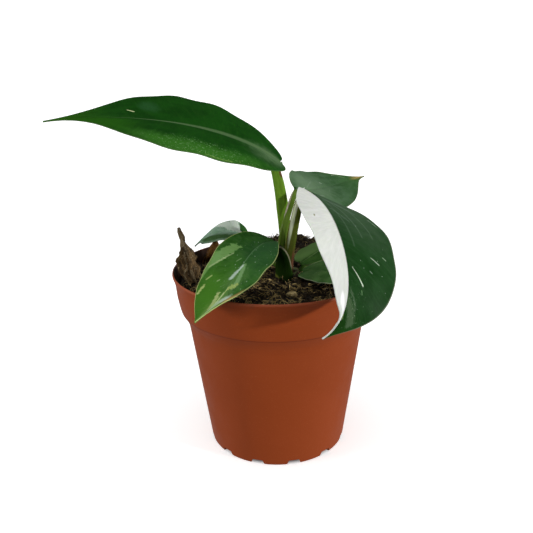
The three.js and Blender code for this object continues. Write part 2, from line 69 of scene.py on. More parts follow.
def add(tree, kind, values=None, **settings):
    """A node with its settings; values gives inputs, by name or number, a value or another node's output."""
    node = tree.nodes.new(kind)
    for key, value in settings.items():
        setattr(node, key, value)
    for key, value in (values or {}).items():
        if isinstance(value, bpy.types.NodeSocket):
            tree.links.new(value, node.inputs[key])
        else:
            node.inputs[key].default_value = value
    return node


def maths(tree, operation, *values):
    """A sum of numbers or outputs, as a new output."""
    return add(tree, "ShaderNodeMath", dict(enumerate(values)), operation=operation).outputs[0]


def blend(tree, share, under, over):
    """One colour laid over another as much as share says. A plain colour is red, green and blue."""
    under, over = ((*colour, 1) if isinstance(colour, tuple) else colour for colour in (under, over))
    return add(tree, "ShaderNodeMix", {0: share, 6: under, 7: over}, data_type="RGBA").outputs[2]


def step(tree, value, low, high, start=0.0, end=1.0):
    """A soft step from start to end as a value goes from low to high."""
    node = add(tree, "ShaderNodeMapRange", {0: value, 1: low, 2: high, 3: start, 4: end})
    node.interpolation_type = "SMOOTHSTEP"
    return node.outputs[0]


def grain(tree, place, scale, detail=2.0, roughness=0.5):
    """Cloudy unevenness from 0 to 1."""
    values = {"Vector": place, "Scale": scale, "Detail": detail, "Roughness": roughness}
    return add(tree, "ShaderNodeTexNoise", values).outputs[0]


def new_finish(name, roughness, specular=0.5):
    """An empty material with its tree, its shader and the object's own coordinates."""
    material = bpy.data.materials.new(name)
    material.use_nodes = True
    tree = material.node_tree
    shader = tree.nodes["Principled BSDF"]
    shader.inputs["Roughness"].default_value = roughness
    shader.inputs["Specular IOR Level"].default_value = specular
    place = add(tree, "ShaderNodeTexCoord").outputs["Object"]
    return material, tree, shader, place


def colour_with(tree, shader, colour, roughness=None, height=None, depth=0.0):
    """Joins a colour, a roughness and a relief of a depth in metres to the shader."""
    tree.links.new(colour, shader.inputs["Base Color"])
    if roughness is not None:
        tree.links.new(roughness, shader.inputs["Roughness"])
    if height is not None:
        bump = add(tree, "ShaderNodeBump", {"Height": height, "Strength": 1.0, "Distance": depth})
        tree.links.new(bump.outputs[0], shader.inputs["Normal"])


def as_piece(name, form):
    """An object whose mesh is a finished bmesh."""
    mesh = bpy.data.meshes.new(name)
    form.to_mesh(mesh)
    form.free()
    piece = bpy.data.objects.new(name, mesh)
    bpy.context.collection.objects.link(piece)
    return piece


def shell(name, grid, along=None, across=None, under=None):
    """A closed piece from rows of points in millimetres. Each row closes on itself, and a first or last row
    that lies on one point or line closes the end. The surface map holds along and across."""
    grid = np.asarray(grid, float)
    rows, columns = grid.shape[:2]
    full = np.zeros((rows, columns))
    along = full + (np.linspace(0, 1, rows)[:, None] if along is None else along)
    across = full + (0.5 if across is None else across)
    under = full + (0.0 if under is None else under)
    form = bmesh.new()
    surface = form.loops.layers.uv.new("surface")
    underside = form.verts.layers.float.new("under")
    points = [form.verts.new(point / 1000) for point in grid.reshape(-1, 3)]
    for vertex, value in zip(points, under.ravel()):
        vertex[underside] = value
    for i in range(rows - 1):
        for j in range(columns):
            corners = [(i, j), (i + 1, j), (i + 1, (j + 1) % columns), (i, (j + 1) % columns)]
            face = form.faces.new([points[row * columns + column] for row, column in corners])
            face.smooth = True
            for loop, corner in zip(face.loops, corners):
                loop[surface].uv = (along[corner], across[corner])
    bmesh.ops.remove_doubles(form, verts=form.verts, dist=2e-6)
    bmesh.ops.dissolve_degenerate(form, edges=form.edges, dist=1e-7)
    bmesh.ops.recalc_face_normals(form, faces=form.faces)
    return as_piece(name, form)


def hand_over(piece, finish, slot, *nodes, sharp=50):
    """Gives a finished piece its material and body, and hides the solids that it stands for. The slot is not
    used.
    """
    piece.data.materials.clear()
    piece.data.materials.append(finish)
    piece.data.set_sharp_from_angle(angle=math.radians(sharp))
    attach(piece, "root")
    if nodes:
        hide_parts(*nodes)


def bake(piece):
    """Works a piece's modifiers into its mesh."""
    shaped = piece.evaluated_get(bpy.context.evaluated_depsgraph_get())
    piece.data = bpy.data.meshes.new_from_object(shaped)
    piece.modifiers.clear()


def round_corners(line, times=2):
    """Cuts each inner corner of a line of points a little, as a mould's edges are eased."""
    for _ in range(times):
        eased = [line[0]]
        for before, here, after in zip(line, line[1:], line[2:]):
            here, before, after = np.array(here), np.array(before), np.array(after)
            for other in (before, after):
                reach = np.linalg.norm(other - here)
                eased.append(tuple(here + (other - here) * min(0.25, 0.5 / reach)))
        eased.append(line[-1])
        line = eased
    return line


def turned(profile, segments):
    """Rows of points for a profile of radius and height turned round the upright axis."""
    turn = np.linspace(0, 2 * math.pi, segments, endpoint=False)
    return [[(r * math.cos(a), r * math.sin(a), z) for a in turn] for r, z in profile]


outer_wall = round_corners(POT_OUTLINE)
inner_wall = [(radius - POT_WALL, height) for radius, height in POT_OUTLINE[2:-3]]
inner_wall = round_corners(POT_FLOOR + inner_wall + RIM_INSIDE, 1)
pot_profile = [(0, 0)] + outer_wall + inner_wall[::-1]
inside = [0.0] * (1 + len(outer_wall)) + [1.0] * len(inner_wall)
pot = shell("pot_shell", turned(pot_profile, POT_SEGMENTS), under=np.array(inside)[:, None])

notch_form = bmesh.new()
for number in range(NOTCH_COUNT):
    turn = Matrix.Rotation(NOTCH_FIRST + 2 * math.pi / NOTCH_COUNT * number, 4, "Z")
    ends = []
    for reach in (NOTCH_FROM, NOTCH_TO):
        corners = [turn @ Vector((x, -reach, z)) / 1000 for x, z in NOTCH_OUTLINE]
        ends.append([notch_form.verts.new(corner) for corner in corners])
    for k in range(4):
        notch_form.faces.new([ends[0][k], ends[0][(k + 1) % 4], ends[1][(k + 1) % 4], ends[1][k]])
    notch_form.faces.new(ends[0])
    notch_form.faces.new(ends[1][::-1])
bmesh.ops.recalc_face_normals(notch_form, faces=notch_form.faces)
notches = as_piece("notches", notch_form)
cut = pot.modifiers.new("drainage", "BOOLEAN")
cut.object = notches
cut.operation = "DIFFERENCE"
cut.solver = "EXACT"
bake(pot)
bpy.data.objects.remove(notches)

plastic, tree, shader, place = new_finish("terracotta_plastic", 0.5, 0.1)
height_in_pot = add(tree, "ShaderNodeSeparateXYZ", {0: place}).outputs[2]
cloudy = step(tree, grain(tree, place, 28, 3), 0.35, 0.65)
body_tone = blend(tree, cloudy, (0.228, 0.0395, 0.0072), (0.238, 0.042, 0.0082))
speck = step(tree, grain(tree, place, 1500, 1), 0.62, 0.74, 0, 0.2)
body_tone = blend(tree, speck, body_tone, (0.36, 0.09, 0.035))
# Painted shade: a thin dark line along the collar's lower edge, where the step below it lies in shade.
from_edge = maths(tree, "ABSOLUTE", maths(tree, "SUBTRACT", height_in_pot, COLLAR_EDGE / 1000))
body_tone = blend(tree, step(tree, from_edge, 0.0001, 0.0006, 0.5, 0), body_tone, (0.1, 0.014, 0.004))
# Painted sheen: the top of the rim is lighter, where it catches the light.
rim_sheen = step(tree, height_in_pot, 0.1052, 0.1068, 0, 0.35)
body_tone = blend(tree, rim_sheen, body_tone, (0.36, 0.12, 0.07))
soiled_edge = maths(tree, "MULTIPLY", step(tree, grain(tree, place, 160, 3), 0.6, 0.7),
                    step(tree, height_in_pot, 0.103, 0.1065, 0, 0.3))
body_tone = blend(tree, soiled_edge, body_tone, (0.05, 0.03, 0.02))
# Painted shade: the inner wall is darkened almost to black, as it lies in shade inside the pot.
inner_side = add(tree, "ShaderNodeAttribute", attribute_name="under").outputs["Fac"]
shaded_inside = step(tree, grain(tree, place, 300, 4), 0.3, 0.6, 1.0, 0.93)
shaded_inside = maths(tree, "MULTIPLY", inner_side, shaded_inside)
body_tone = blend(tree, shaded_inside, body_tone, (0.012, 0.008, 0.005))
matt = step(tree, grain(tree, place, 90, 3), 0.3, 0.7, 0.44, 0.56)
waves = maths(tree, "MULTIPLY", grain(tree, place, 60, 1), 2.0)
relief = maths(tree, "ADD", grain(tree, place, 2200, 1), waves)
colour_with(tree, shader, body_tone, matt, relief, 0.00004)
hand_over(pot, plastic, "pot_plastic", "pot", sharp=40)

# Soil.
# Moist peat and coir, pressed down by hand and a little dry on top: a plug that fills the pot, covered with
# loose crumbs, larger clods, straw-coloured fibres and a few grains of perlite.

# A heap is its place, its rise and its spread each way; the dip is its depth and where along x it starts and
# ends; a bump is its rise and two waves, each by its steps along x and y and its start.
SOIL_LEVEL = 101
SOIL_HEAPS = [(12, 45, 11, 30, 25), (7, -4, 3, 22, 18)]
SOIL_DIP = (3.6, -34, -56)
SOIL_BUMPS = [(0.8, (0.42, 0.31, 1), (-0.22, 0.37, 2)), (0.48, (0.85, -0.3, 0), (0.4, 0.7, 1))]
SOIL_TOP_RADIUS = 55.9
SOIL_MIDDLE_RADIUS = 50
HIGHEST_IN_MIDDLE = 111.5
HIGHEST_AT_EDGE = 106
SOIL_RINGS = 64
SOIL_SEGMENTS = 200
SOIL_SIDE = [(0, 1.8), (37.85, 1.8), (39.12, 3.5), (49.05, 73.5), (49.35, 75.5), (50.15, 78.5),
             (51.55, 81.5), (53.55, 84.5), (53.95, 86), (54.45, 88.3), (55.45, 93.5)]


def eased(value):
    """A soft rise from 0 to 1."""
    value = np.clip(value, 0, 1)
    return value * value * (3 - 2 * value)


def soil_height(x, y):
    """Height of the soil's top at a place in the pot, in millimetres."""
    height = SOIL_LEVEL - SOIL_DIP[0] * eased((x - SOIL_DIP[1]) / (SOIL_DIP[2] - SOIL_DIP[1]))
    for at_x, at_y, rise, spread_x, spread_y in SOIL_HEAPS:
        height += rise * np.exp(-(((x - at_x) / spread_x) ** 2 + ((y - at_y) / spread_y) ** 2))
    for rise, a, b in SOIL_BUMPS:
        height += rise * np.sin(a[0] * x + a[1] * y + a[2]) * np.sin(b[0] * x + b[1] * y + b[2])
    return height


soil_rows = turned(SOIL_SIDE, SOIL_SEGMENTS)
for radius in np.linspace(SOIL_TOP_RADIUS, 0, SOIL_RINGS):
    row = []
    for turn in np.linspace(0, 2 * math.pi, SOIL_SEGMENTS, endpoint=False):
        x, y = radius * math.cos(turn), radius * math.sin(turn)
        at = Vector((x, y, 0))
        rough = 1.1 * noise.fractal(at / 4, 0.8, 2.1, 3) + 0.5 * noise.noise(at / 1.3)
        settle = 1 - 0.6 * eased((radius - SOIL_MIDDLE_RADIUS) / 6)
        highest = HIGHEST_IN_MIDDLE if radius < SOIL_MIDDLE_RADIUS else HIGHEST_AT_EDGE
        row.append((x, y, min(soil_height(x, y) + rough * settle, highest)))
    soil_rows.append(row)
soil = shell("soil_plug", soil_rows)

peat, tree, shader, place = new_finish("moist_peat", 0.9, 0.25)
lumps = grain(tree, place, 260, 5, 0.65)
peat_tone = blend(tree, step(tree, lumps, 0.36, 0.66), (0.008, 0.0055, 0.003), (0.05, 0.032, 0.014))
straws = add(tree, "ShaderNodeMapping", {"Vector": place, "Scale": (1, 3.2, 1), "Rotation": (0, 0, 0.6)})
straw = step(tree, grain(tree, straws.outputs[0], 420, 3, 0.6), 0.6, 0.7, 0, 0.6)
peat_tone = blend(tree, straw, peat_tone, (0.16, 0.1, 0.045))
damp = step(tree, grain(tree, place, 40, 2), 0.35, 0.65, 0.78, 0.96)
colour_with(tree, shader, peat_tone, damp, grain(tree, place, 700, 4, 0.7), 0.0012)
hand_over(soil, peat, "soil", "soil", sharp=180)

WALL_INSIDE = 55.6
RIM_HEIGHT = 106.5
BED_RADIUS = 54.5
BED_FROM = 95.5
STEEPEST_BED = 0.2
# Where the stem, the stone, the dried leaf and the sheath stand, little is strewn: place and radius.
BARE_SPOTS = [(9, 0, 10), (5, -10, 7), (22, -14, 8), (9, -34, 4.5), (-50, 0, 7), (-41, 31, 5)]

bed_form = bmesh.new()
bed_form.from_mesh(soil.data)
ground = bed_form.verts.layers.float.new("open_ground")
buried = [face for face in bed_form.faces
          if face.calc_center_median().z * 1000 < BED_FROM or face.normal.z < STEEPEST_BED]
bmesh.ops.delete(bed_form, geom=buried, context="FACES")
for vertex in bed_form.verts:
    x, y = vertex.co.x * 1000, vertex.co.y * 1000
    clear = 1.0 if math.hypot(x, y) < BED_RADIUS else 0.0
    for at_x, at_y, radius in BARE_SPOTS:
        clear *= float(eased(math.hypot(x - at_x, y - at_y) / radius - 0.5))
    vertex[ground] = clear
soil_bed = bpy.data.meshes.new("soil_bed")
bed_form.to_mesh(soil_bed)
bed_form.free()


def vectors(tree, operation, values, output=0):
    """A sum of vectors, as a new output: output 0 is a vector, output 1 a number."""
    return add(tree, "ShaderNodeVectorMath", values, operation=operation).outputs[output]


def strewing(name, strand=0):
    """A tree that strews copies of one small shape over a surface, each turned, sized and bent its own way.
    The shape is a lump, or a bent strand where its thickness is given as a share of its length."""
    tree = bpy.data.node_groups.new(name, "GeometryNodeTree")
    ports = {"Surface": "Geometry", "Per square metre": "Float", "Smallest": "Float", "Largest": "Float",
             "Unevenness": "Float", "Tilt": "Float", "Seed": "Int", "Finish": "Material"}
    for label, kind in ports.items():
        tree.interface.new_socket(name=label, in_out="INPUT", socket_type=f"NodeSocket{kind}")
    tree.interface.new_socket(name="Strewn", in_out="OUTPUT", socket_type="NodeSocketGeometry")
    given = tree.nodes.new("NodeGroupInput").outputs
    ground = add(tree, "GeometryNodeInputNamedAttribute", {"Name": "open_ground"}, data_type="FLOAT")
    density = maths(tree, "MULTIPLY", given["Per square metre"], ground.outputs[0])
    points = add(tree, "GeometryNodeDistributePointsOnFaces",
                 {"Mesh": given["Surface"], "Density": density, "Seed": given["Seed"]})
    if strand:
        bend = {"Resolution": 7, "Start": (-1, 0, 0), "Middle": (0.1, 0.5, 0.35), "End": (1, -0.1, 0.05)}
        line = add(tree, "GeometryNodeCurveQuadraticBezier", bend)
        section = add(tree, "GeometryNodeCurvePrimitiveCircle", {"Resolution": 3, "Radius": strand})
        swept = {"Curve": line.outputs[0], "Profile Curve": section.outputs[0], "Fill Caps": True}
        shape = add(tree, "GeometryNodeCurveToMesh", swept).outputs[0]
    else:
        shape = add(tree, "GeometryNodeMeshIcoSphere", {"Radius": 1.0, "Subdivisions": 2}).outputs[0]
    tilt = maths(tree, "MULTIPLY", given["Tilt"], -1.0)
    low = add(tree, "ShaderNodeCombineXYZ", {0: tilt, 1: tilt, 2: 0.0}).outputs[0]
    high = add(tree, "ShaderNodeCombineXYZ", {0: given["Tilt"], 1: given["Tilt"], 2: 6.283}).outputs[0]
    turn = add(tree, "FunctionNodeRandomValue", {0: low, 1: high, 8: given["Seed"]},
               data_type="FLOAT_VECTOR")
    size = add(tree, "FunctionNodeRandomValue",
               {2: given["Smallest"], 3: given["Largest"], 8: given["Seed"]}, data_type="FLOAT")
    copies = add(tree, "GeometryNodeInstanceOnPoints",
                 {"Points": points.outputs[0], "Instance": shape, "Rotation": turn.outputs[0],
                  "Scale": size.outputs[1]}).outputs[0]
    loose = add(tree, "GeometryNodeRealizeInstances", {0: copies}).outputs[0]
    where = add(tree, "GeometryNodeInputPosition").outputs[0]
    wobble = add(tree, "ShaderNodeTexNoise", {"Vector": where, "Scale": 420.0, "Detail": 2.0}).outputs[1]
    centred = vectors(tree, "SUBTRACT", {0: wobble, 1: (0.5, 0.5, 0.5)})
    push = vectors(tree, "SCALE", {0: centred, 3: given["Unevenness"]})
    bent = add(tree, "GeometryNodeSetPosition", {"Geometry": loose, "Offset": push}).outputs[0]
    finished = add(tree, "GeometryNodeSetMaterial", {"Geometry": bent, "Material": given["Finish"]})
    tree.links.new(finished.outputs[0], tree.nodes.new("NodeGroupOutput").inputs[0])
    return tree


def strew(name, tree, finish, **sizes):
    """Strews a tree's shapes over the soil's open top, holds them inside the wall and hands them over."""
    bed = bpy.data.objects.new(name, soil_bed.copy())
    bpy.context.collection.objects.link(bed)
    modifier = bed.modifiers.new("strewing", "NODES")
    modifier.node_group = tree
    sizes["finish"] = finish
    for item in tree.interface.items_tree:
        key = item.name.lower().replace(" ", "_")
        if item.in_out == "INPUT" and key in sizes:
            modifier[item.identifier] = sizes[key]
    bake(bed)
    for vertex in bed.data.vertices:
        out = math.hypot(vertex.co.x, vertex.co.y) * 1000
        if out > WALL_INSIDE and vertex.co.z * 1000 < RIM_HEIGHT:
            vertex.co.x *= WALL_INSIDE / out
            vertex.co.y *= WALL_INSIDE / out
    hand_over(bed, finish, "soil", sharp=180)


crumb, tree, shader, place = new_finish("peat_crumb", 0.85, 0.3)
shade = grain(tree, place, 210, 2)
crumb_tone = blend(tree, step(tree, shade, 0.38, 0.6), (0.005, 0.0035, 0.002), (0.042, 0.027, 0.011))
pale_crumbs = step(tree, grain(tree, place, 380, 2), 0.62, 0.68, 0, 0.5)
crumb_tone = blend(tree, pale_crumbs, crumb_tone, (0.16, 0.11, 0.045))
damp = step(tree, shade, 0.3, 0.7, 0.95, 0.7)
colour_with(tree, shader, crumb_tone, damp, grain(tree, place, 1800, 3, 0.7), 0.0005)

fibre, tree, shader, place = new_finish("coir_fibre", 0.75, 0.2)
fibre_tone = blend(tree, step(tree, grain(tree, place, 170, 2), 0.44, 0.58), (0.03, 0.018, 0.007),
                   (0.62, 0.45, 0.19))
# Painted shade: fibres further back are darker, in the shade of the rim and the leaves.
shaded_towards_back = step(tree, add(tree, "ShaderNodeSeparateXYZ", {0: place}).outputs[1], -0.005, 0.02, 0, 0.7)
fibre_tone = blend(tree, shaded_towards_back, fibre_tone, (0.025, 0.016, 0.008))
colour_with(tree, shader, fibre_tone, None, grain(tree, place, 2600, 2), 0.0002)

perlite, tree, shader, place = new_finish("perlite_grain", 0.9, 0.3)
pale = blend(tree, step(tree, grain(tree, place, 700, 3), 0.35, 0.65), (0.5, 0.44, 0.35), (0.85, 0.83, 0.78))
colour_with(tree, shader, pale, None, grain(tree, place, 2500, 3, 0.7), 0.0004)

crumb_tree = strewing("crumbs")
strand_tree = strewing("strands", strand=0.045)
thread_tree = strewing("threads", strand=0.028)
strew("soil_crumbs", crumb_tree, crumb, per_square_metre=145000.0,
      smallest=0.0004, largest=0.00115, unevenness=0.0016, tilt=3.1, seed=4)
strew("soil_clods", crumb_tree, crumb, per_square_metre=22000.0,
      smallest=0.0009, largest=0.0021, unevenness=0.0034, tilt=3.1, seed=11)
strew("soil_fibres", strand_tree, fibre, per_square_metre=80000.0,
      smallest=0.0018, largest=0.005, unevenness=0.002, tilt=0.5, seed=7)
strew("soil_threads", thread_tree, fibre, per_square_metre=190000.0,
      smallest=0.0016, largest=0.0062, unevenness=0.0026, tilt=0.8, seed=15)
strew("stray_fibres", thread_tree, fibre, per_square_metre=2600.0,
      smallest=0.003, largest=0.0065, unevenness=0.004, tilt=1.3, seed=3)
strew("perlite_grains", crumb_tree, perlite, per_square_metre=1500.0,
      smallest=0.0004, largest=0.001, unevenness=0.0012, tilt=3.1, seed=21)

# Stone.
# One tan pebble that came with the soil and lies near the rim at the front.

STONE_AT = np.array((9, -34, 102.6))
STONE_SIZE = np.array((3.4, 2.6, 2))

stone_rows = []
for lift in np.linspace(-math.pi / 2, math.pi / 2, 33):
    row = []
    for turn in np.linspace(0, 2 * math.pi, 48, endpoint=False):
        way = np.array((math.cos(lift) * math.cos(turn), math.cos(lift) * math.sin(turn), math.sin(lift)))
        swell = 0.93 + 0.16 * noise.noise(Vector(way) * 1.6) + 0.04 * noise.noise(Vector(way) * 5)
        row.append(STONE_AT + way * STONE_SIZE * swell)
    stone_rows.append(row)
stone = shell("pebble", stone_rows)
pebble, tree, shader, place = new_finish("tan_pebble", 0.75, 0.35)
stone_tone = blend(tree, step(tree, grain(tree, place, 420, 4, 0.6), 0.4, 0.62), (0.14, 0.095, 0.035),
                   (0.58, 0.44, 0.2))
colour_with(tree, shader, stone_tone, None, grain(tree, place, 1500, 4, 0.6), 0.0006)
hand_over(stone, pebble, "stone", "stone", sharp=180)

# Stem.
# The short stock that all the leaves grow from, mostly buried: green flesh under old brown leaf scars.

STEM_PATH = [(9, 1, 72), (8, 0, 84), (10, 0, 96), (9, -1, 105)]
STEM_WIDTHS = [6, 14, 16.4, 17.2, 16, 17.6, 15.2, 9]


def bezier(points, way_along):
    """Points of a Bezier curve with any number of control points."""
    row = np.asarray(points, float)[None] * np.ones((len(way_along), 1, 1))
    way_along = np.asarray(way_along, float)[:, None, None]
    while row.shape[1] > 1:
        row = row[:, :-1] * (1 - way_along) + row[:, 1:] * way_along
    return row[:, 0]


def along_curve(points, share):
    """Places at shares of a curve's length, the way it runs there, and its length. Past its ends the curve
    runs on straight."""
    steps = np.linspace(0, 1, 401)
    distance = np.linalg.norm(np.diff(bezier(points, steps), axis=0), axis=1)
    distance = np.r_[0, np.cumsum(distance)]
    inside = np.clip(share, 0, 1)
    at = np.interp(inside * distance[-1], distance, steps)
    way = bezier(points, np.clip(at + 1e-3, 0, 1)) - bezier(points, np.clip(at - 1e-3, 0, 1))
    way /= np.linalg.norm(way, axis=1, keepdims=True)
    place = bezier(points, at) + way * ((share - inside) * distance[-1])[:, None]
    return place, way, distance[-1]


def stalk_rows(path, side, width, depth, rings=80, sides=40, groove=0.0):
    """Rows of points round a stalk whose width and depth are given at even steps from its foot to its top,
    with a groove down its front, and where each point lies along, across and towards the back."""
    share = np.linspace(0, 1, rings + 1)
    centre, way, _ = along_curve(path, share)
    lateral = np.asarray(side, float) - way * (way @ np.asarray(side, float))[:, None]
    lateral /= np.linalg.norm(lateral, axis=1, keepdims=True)
    normal = np.cross(way, lateral)
    turn = np.linspace(0, 2 * math.pi, sides, endpoint=False)
    half_width = np.interp(share, np.linspace(0, 1, len(width)), width) / 2
    half_depth = np.interp(share, np.linspace(0, 1, len(depth)), depth) / 2
    hollow = 1 - groove * np.exp(-((np.cos(turn) / 0.45) ** 2)) * (np.sin(turn) < 0)
    rows = (centre[:, None] + lateral[:, None] * (half_width[:, None] * np.cos(turn))[..., None]
            + normal[:, None] * (half_depth[:, None] * np.sin(turn) * hollow)[..., None])
    rows = np.concatenate([centre[:1, None] + 0 * rows[:1], rows, centre[-1:, None] + 0 * rows[-1:]])
    along = np.r_[0, share, 1][:, None]
    return rows, along, 0.5 + 0.5 * np.cos(turn)[None], 0.5 + 0.5 * np.sin(turn)[None]


stem_rows, along, across, under = stalk_rows(STEM_PATH, (1, 0, 0), STEM_WIDTHS, STEM_WIDTHS, 90, 72)
for row in stem_rows[1:-1]:
    middle = row.mean(axis=0)
    for k, point in enumerate(row):
        knob = 1 + 0.1 * noise.noise(Vector(point) / 5) + 0.03 * noise.noise(Vector(point) / 1.4)
        knob += 0.035 * math.sin(point[2] * 1.9)
        row[k] = middle + (point - middle) * min(knob, 1.06)
stem = shell("stem_stock", stem_rows, along, across, under)
bark, tree, shader, place = new_finish("stem_skin", 0.55, 0.4)
flattened = add(tree, "ShaderNodeMapping", {"Vector": place, "Scale": (60, 60, 520)}).outputs[0]
rings = grain(tree, flattened, 1, 3)
stem_tone = blend(tree, step(tree, rings, 0.42, 0.6), (0.022, 0.035, 0.006), (0.075, 0.1, 0.02))
scars = step(tree, grain(tree, place, 190, 3, 0.6), 0.5, 0.6, 0, 0.85)
stem_tone = blend(tree, scars, stem_tone, (0.07, 0.032, 0.014))
colour_with(tree, shader, stem_tone, None, maths(tree, "ADD", rings, scars), 0.0006)
hand_over(stem, bark, "stem", "stem", sharp=180)

# Petioles.
# Each leaf's stalk: fleshy, a little flat, channelled on the side that faces the stem's tip, and at its foot
# wrapped half round the stock. Old margins of the sheath run up its edges as pale or brown lines.
# Towards the crown the stalks are darkened with painted shade, and the top left one carries a painted
# highlight.

# A petiole's path runs from its foot in the stem to its blade, and its width and depth are given at even
# steps along it. A stripe is its centre along and across (-1 to 1), its reach each way and its colour.
GREEN_FLESH = (0.085, 0.19, 0.012)
# Painted shade: the darkest flesh, at the feet of the short stalks deep among the leaves.
SHADED_FLESH = (0.02, 0.05, 0.006)
PETIOLES = {
    "top_left": dict(
        path=[(8, 1.5, 95), (5.5, 3.9, 116.5), (7.5, 1.6, 138.8), (2.3, -0.3, 154.5), (2.7, 3.6, 165.1),
              (-2.5, -2, 170)],
        side=(1, 0.1, 0), width=(6.4, 6.6, 6.8, 7.1, 6.1, 4.2), depth=(4.8, 3.6), groove=0.22,
        low=(0.045, 0.09, 0.006), high=(0.1, 0.215, 0.012), edge=(0.2, 0.26, 0.07),
        # Painted highlight: the first stripe, pale near the top edge; the second is a brown scar.
        stripes=[((0.96, 0.8), (0.02, 0.32), (0.75, 0.8, 0.65)),
                 ((0.865, 0.98), (0.035, 0.44), (0.1, 0.045, 0.018))]),
    "right": dict(
        path=[(9.5, -4.5, 95), (3.8, -3.1, 110.7), (10.6, -11.2, 125.5), (11.8, -13.4, 145.1),
              (14.2, -12.1, 156.1), (18.2, -23.6, 155)],
        side=(1, 0.1, 0), width=(5.9, 5.8, 5.7, 5.5, 4.8, 4.2), depth=(5, 3.4), groove=0.12,
        low=(0.03, 0.045, 0.006), high=(0.075, 0.105, 0.012), edge=(0.1, 0.06, 0.02),
        stripes=[((0.75, -0.56), (0.3, 0.36), (0.46, 0.5, 0.34)),
                 ((0.2, 0.7), (0.18, 0.32), (0.09, 0.04, 0.02)),
                 ((1.0, -0.4), (0.07, 1.0), (0.5, 0.52, 0.4))]),
    "upper_right": dict(
        path=[(4.8, -3.2, 95), (0.2, -6.6, 118.5), (4.9, 0.2, 136.2), (13, -7.7, 151.8), (10.2, -1.2, 152.6),
              (14.5, 6.5, 149.8)],
        side=(1, 0, 0), width=(5, 4.8, 4.5, 3.9, 3.6, 3), depth=(4.2, 2.8), groove=0.2,
        low=(0.03, 0.06, 0.004), high=(0.075, 0.14, 0.012), edge=(0.16, 0.17, 0.07),
        stripes=[((0.8, -0.8), (0.12, 0.32), (0.3, 0.27, 0.2))]),
    "front_left": dict(
        path=[(4.5, -9, 95), (5.5, -12.5, 108), (6, -15.5, 121), (1.5, -18, 127.5), (-3, -22.5, 125.7)],
        side=(0.85, -0.5, 0), width=(11.5, 11, 8.5, 5.5), depth=(5, 4.6, 3.8, 3.2), groove=0.1,
        # Painted shade: its near-black colours are the deep shade it stands in under the leaves.
        low=(0.012, 0.03, 0.004), high=(0.005, 0.016, 0.002), rib=(0.01, 0.03, 0.004),
        edge=(0.2, 0.19, 0.12), edge_from=0.5, soiled_to=0.24,
        stripes=[((0.24, -0.76), (0.06, 0.4), (0.1, 0.11, 0.02)),
                 ((0.1, 0.8), (0.12, 0.2), (0.06, 0.025, 0.012))]),
    "back_left": dict(
        path=[(2.5, 4, 95), (1, 6, 108), (-2, 8.5, 115), (-11, 10, 118.5)],
        side=(0.3, -0.95, 0), width=(4.6, 3.2), depth=(4, 2.8), groove=0.15,
        low=SHADED_FLESH, high=GREEN_FLESH, edge=(0.12, 0.16, 0.05), stripes=[]),
    # Painted shade: the two short right stalks are darker all along, in the shade of the leaves.
    "mid_right": dict(
        path=[(15.5, 1.5, 95), (14.5, 1.5, 100), (13.5, 1.5, 104), (18.5, 5.5, 106.8)],
        side=(-0.5, 0.85, 0), width=(4.2, 3), depth=(3.8, 2.6), groove=0.15,
        low=SHADED_FLESH, high=(0.03, 0.08, 0.01), edge=(0.12, 0.16, 0.05), stripes=[]),
    "lower_right": dict(
        path=[(15.5, -7.5, 95), (14.5, -7.5, 100), (14, -8, 103.5), (18.5, -10.3, 106)],
        side=(0.4, 0.9, 0), width=(4, 2.8), depth=(3.6, 2.4), groove=0.15,
        low=SHADED_FLESH, high=(0.03, 0.075, 0.01), edge=(0.12, 0.16, 0.05), stripes=[]),
}


def surface_of(tree):
    """The piece's own surface map as its share along, its share across from -1 to 1, and its underside."""
    mapped = add(tree, "ShaderNodeUVMap", uv_map="surface").outputs[0]
    split = add(tree, "ShaderNodeSeparateXYZ", {0: mapped})
    across = maths(tree, "MULTIPLY_ADD", split.outputs[1], 2.0, -1.0)
    under = add(tree, "ShaderNodeAttribute", attribute_name="under").outputs["Fac"]
    return split.outputs[0], across, under


def stretched(tree, along, across, by_along, by_across):
    """A place on the surface map for a pattern that runs along or across the piece."""
    return add(tree, "ShaderNodeCombineXYZ", {0: maths(tree, "MULTIPLY", along, by_along),
                                              1: maths(tree, "MULTIPLY", across, by_across)}).outputs[0]


def inputs_of(tree, kind, labels):
    """Gives a group inputs of one kind."""
    for label in labels:
        tree.interface.new_socket(name=label, in_out="INPUT", socket_type=f"NodeSocket{kind}")


def share_inside(tree, distance, place, ragged, softness):
    """Makes a group's only output: 1 where a distance is below zero, 0 beyond, with a torn, soft edge."""
    torn = maths(tree, "MULTIPLY", maths(tree, "SUBTRACT", grain(tree, place, 1, 3, 0.6), 0.5), ragged)
    edge = maths(tree, "DIVIDE", maths(tree, "ADD", distance, torn), softness)
    tree.interface.new_socket(name="Share", in_out="OUTPUT", socket_type="NodeSocketFloat")
    tree.links.new(step(tree, edge, -1.0, 1.0, 1.0, 0.0), tree.nodes.new("NodeGroupOutput").inputs[0])


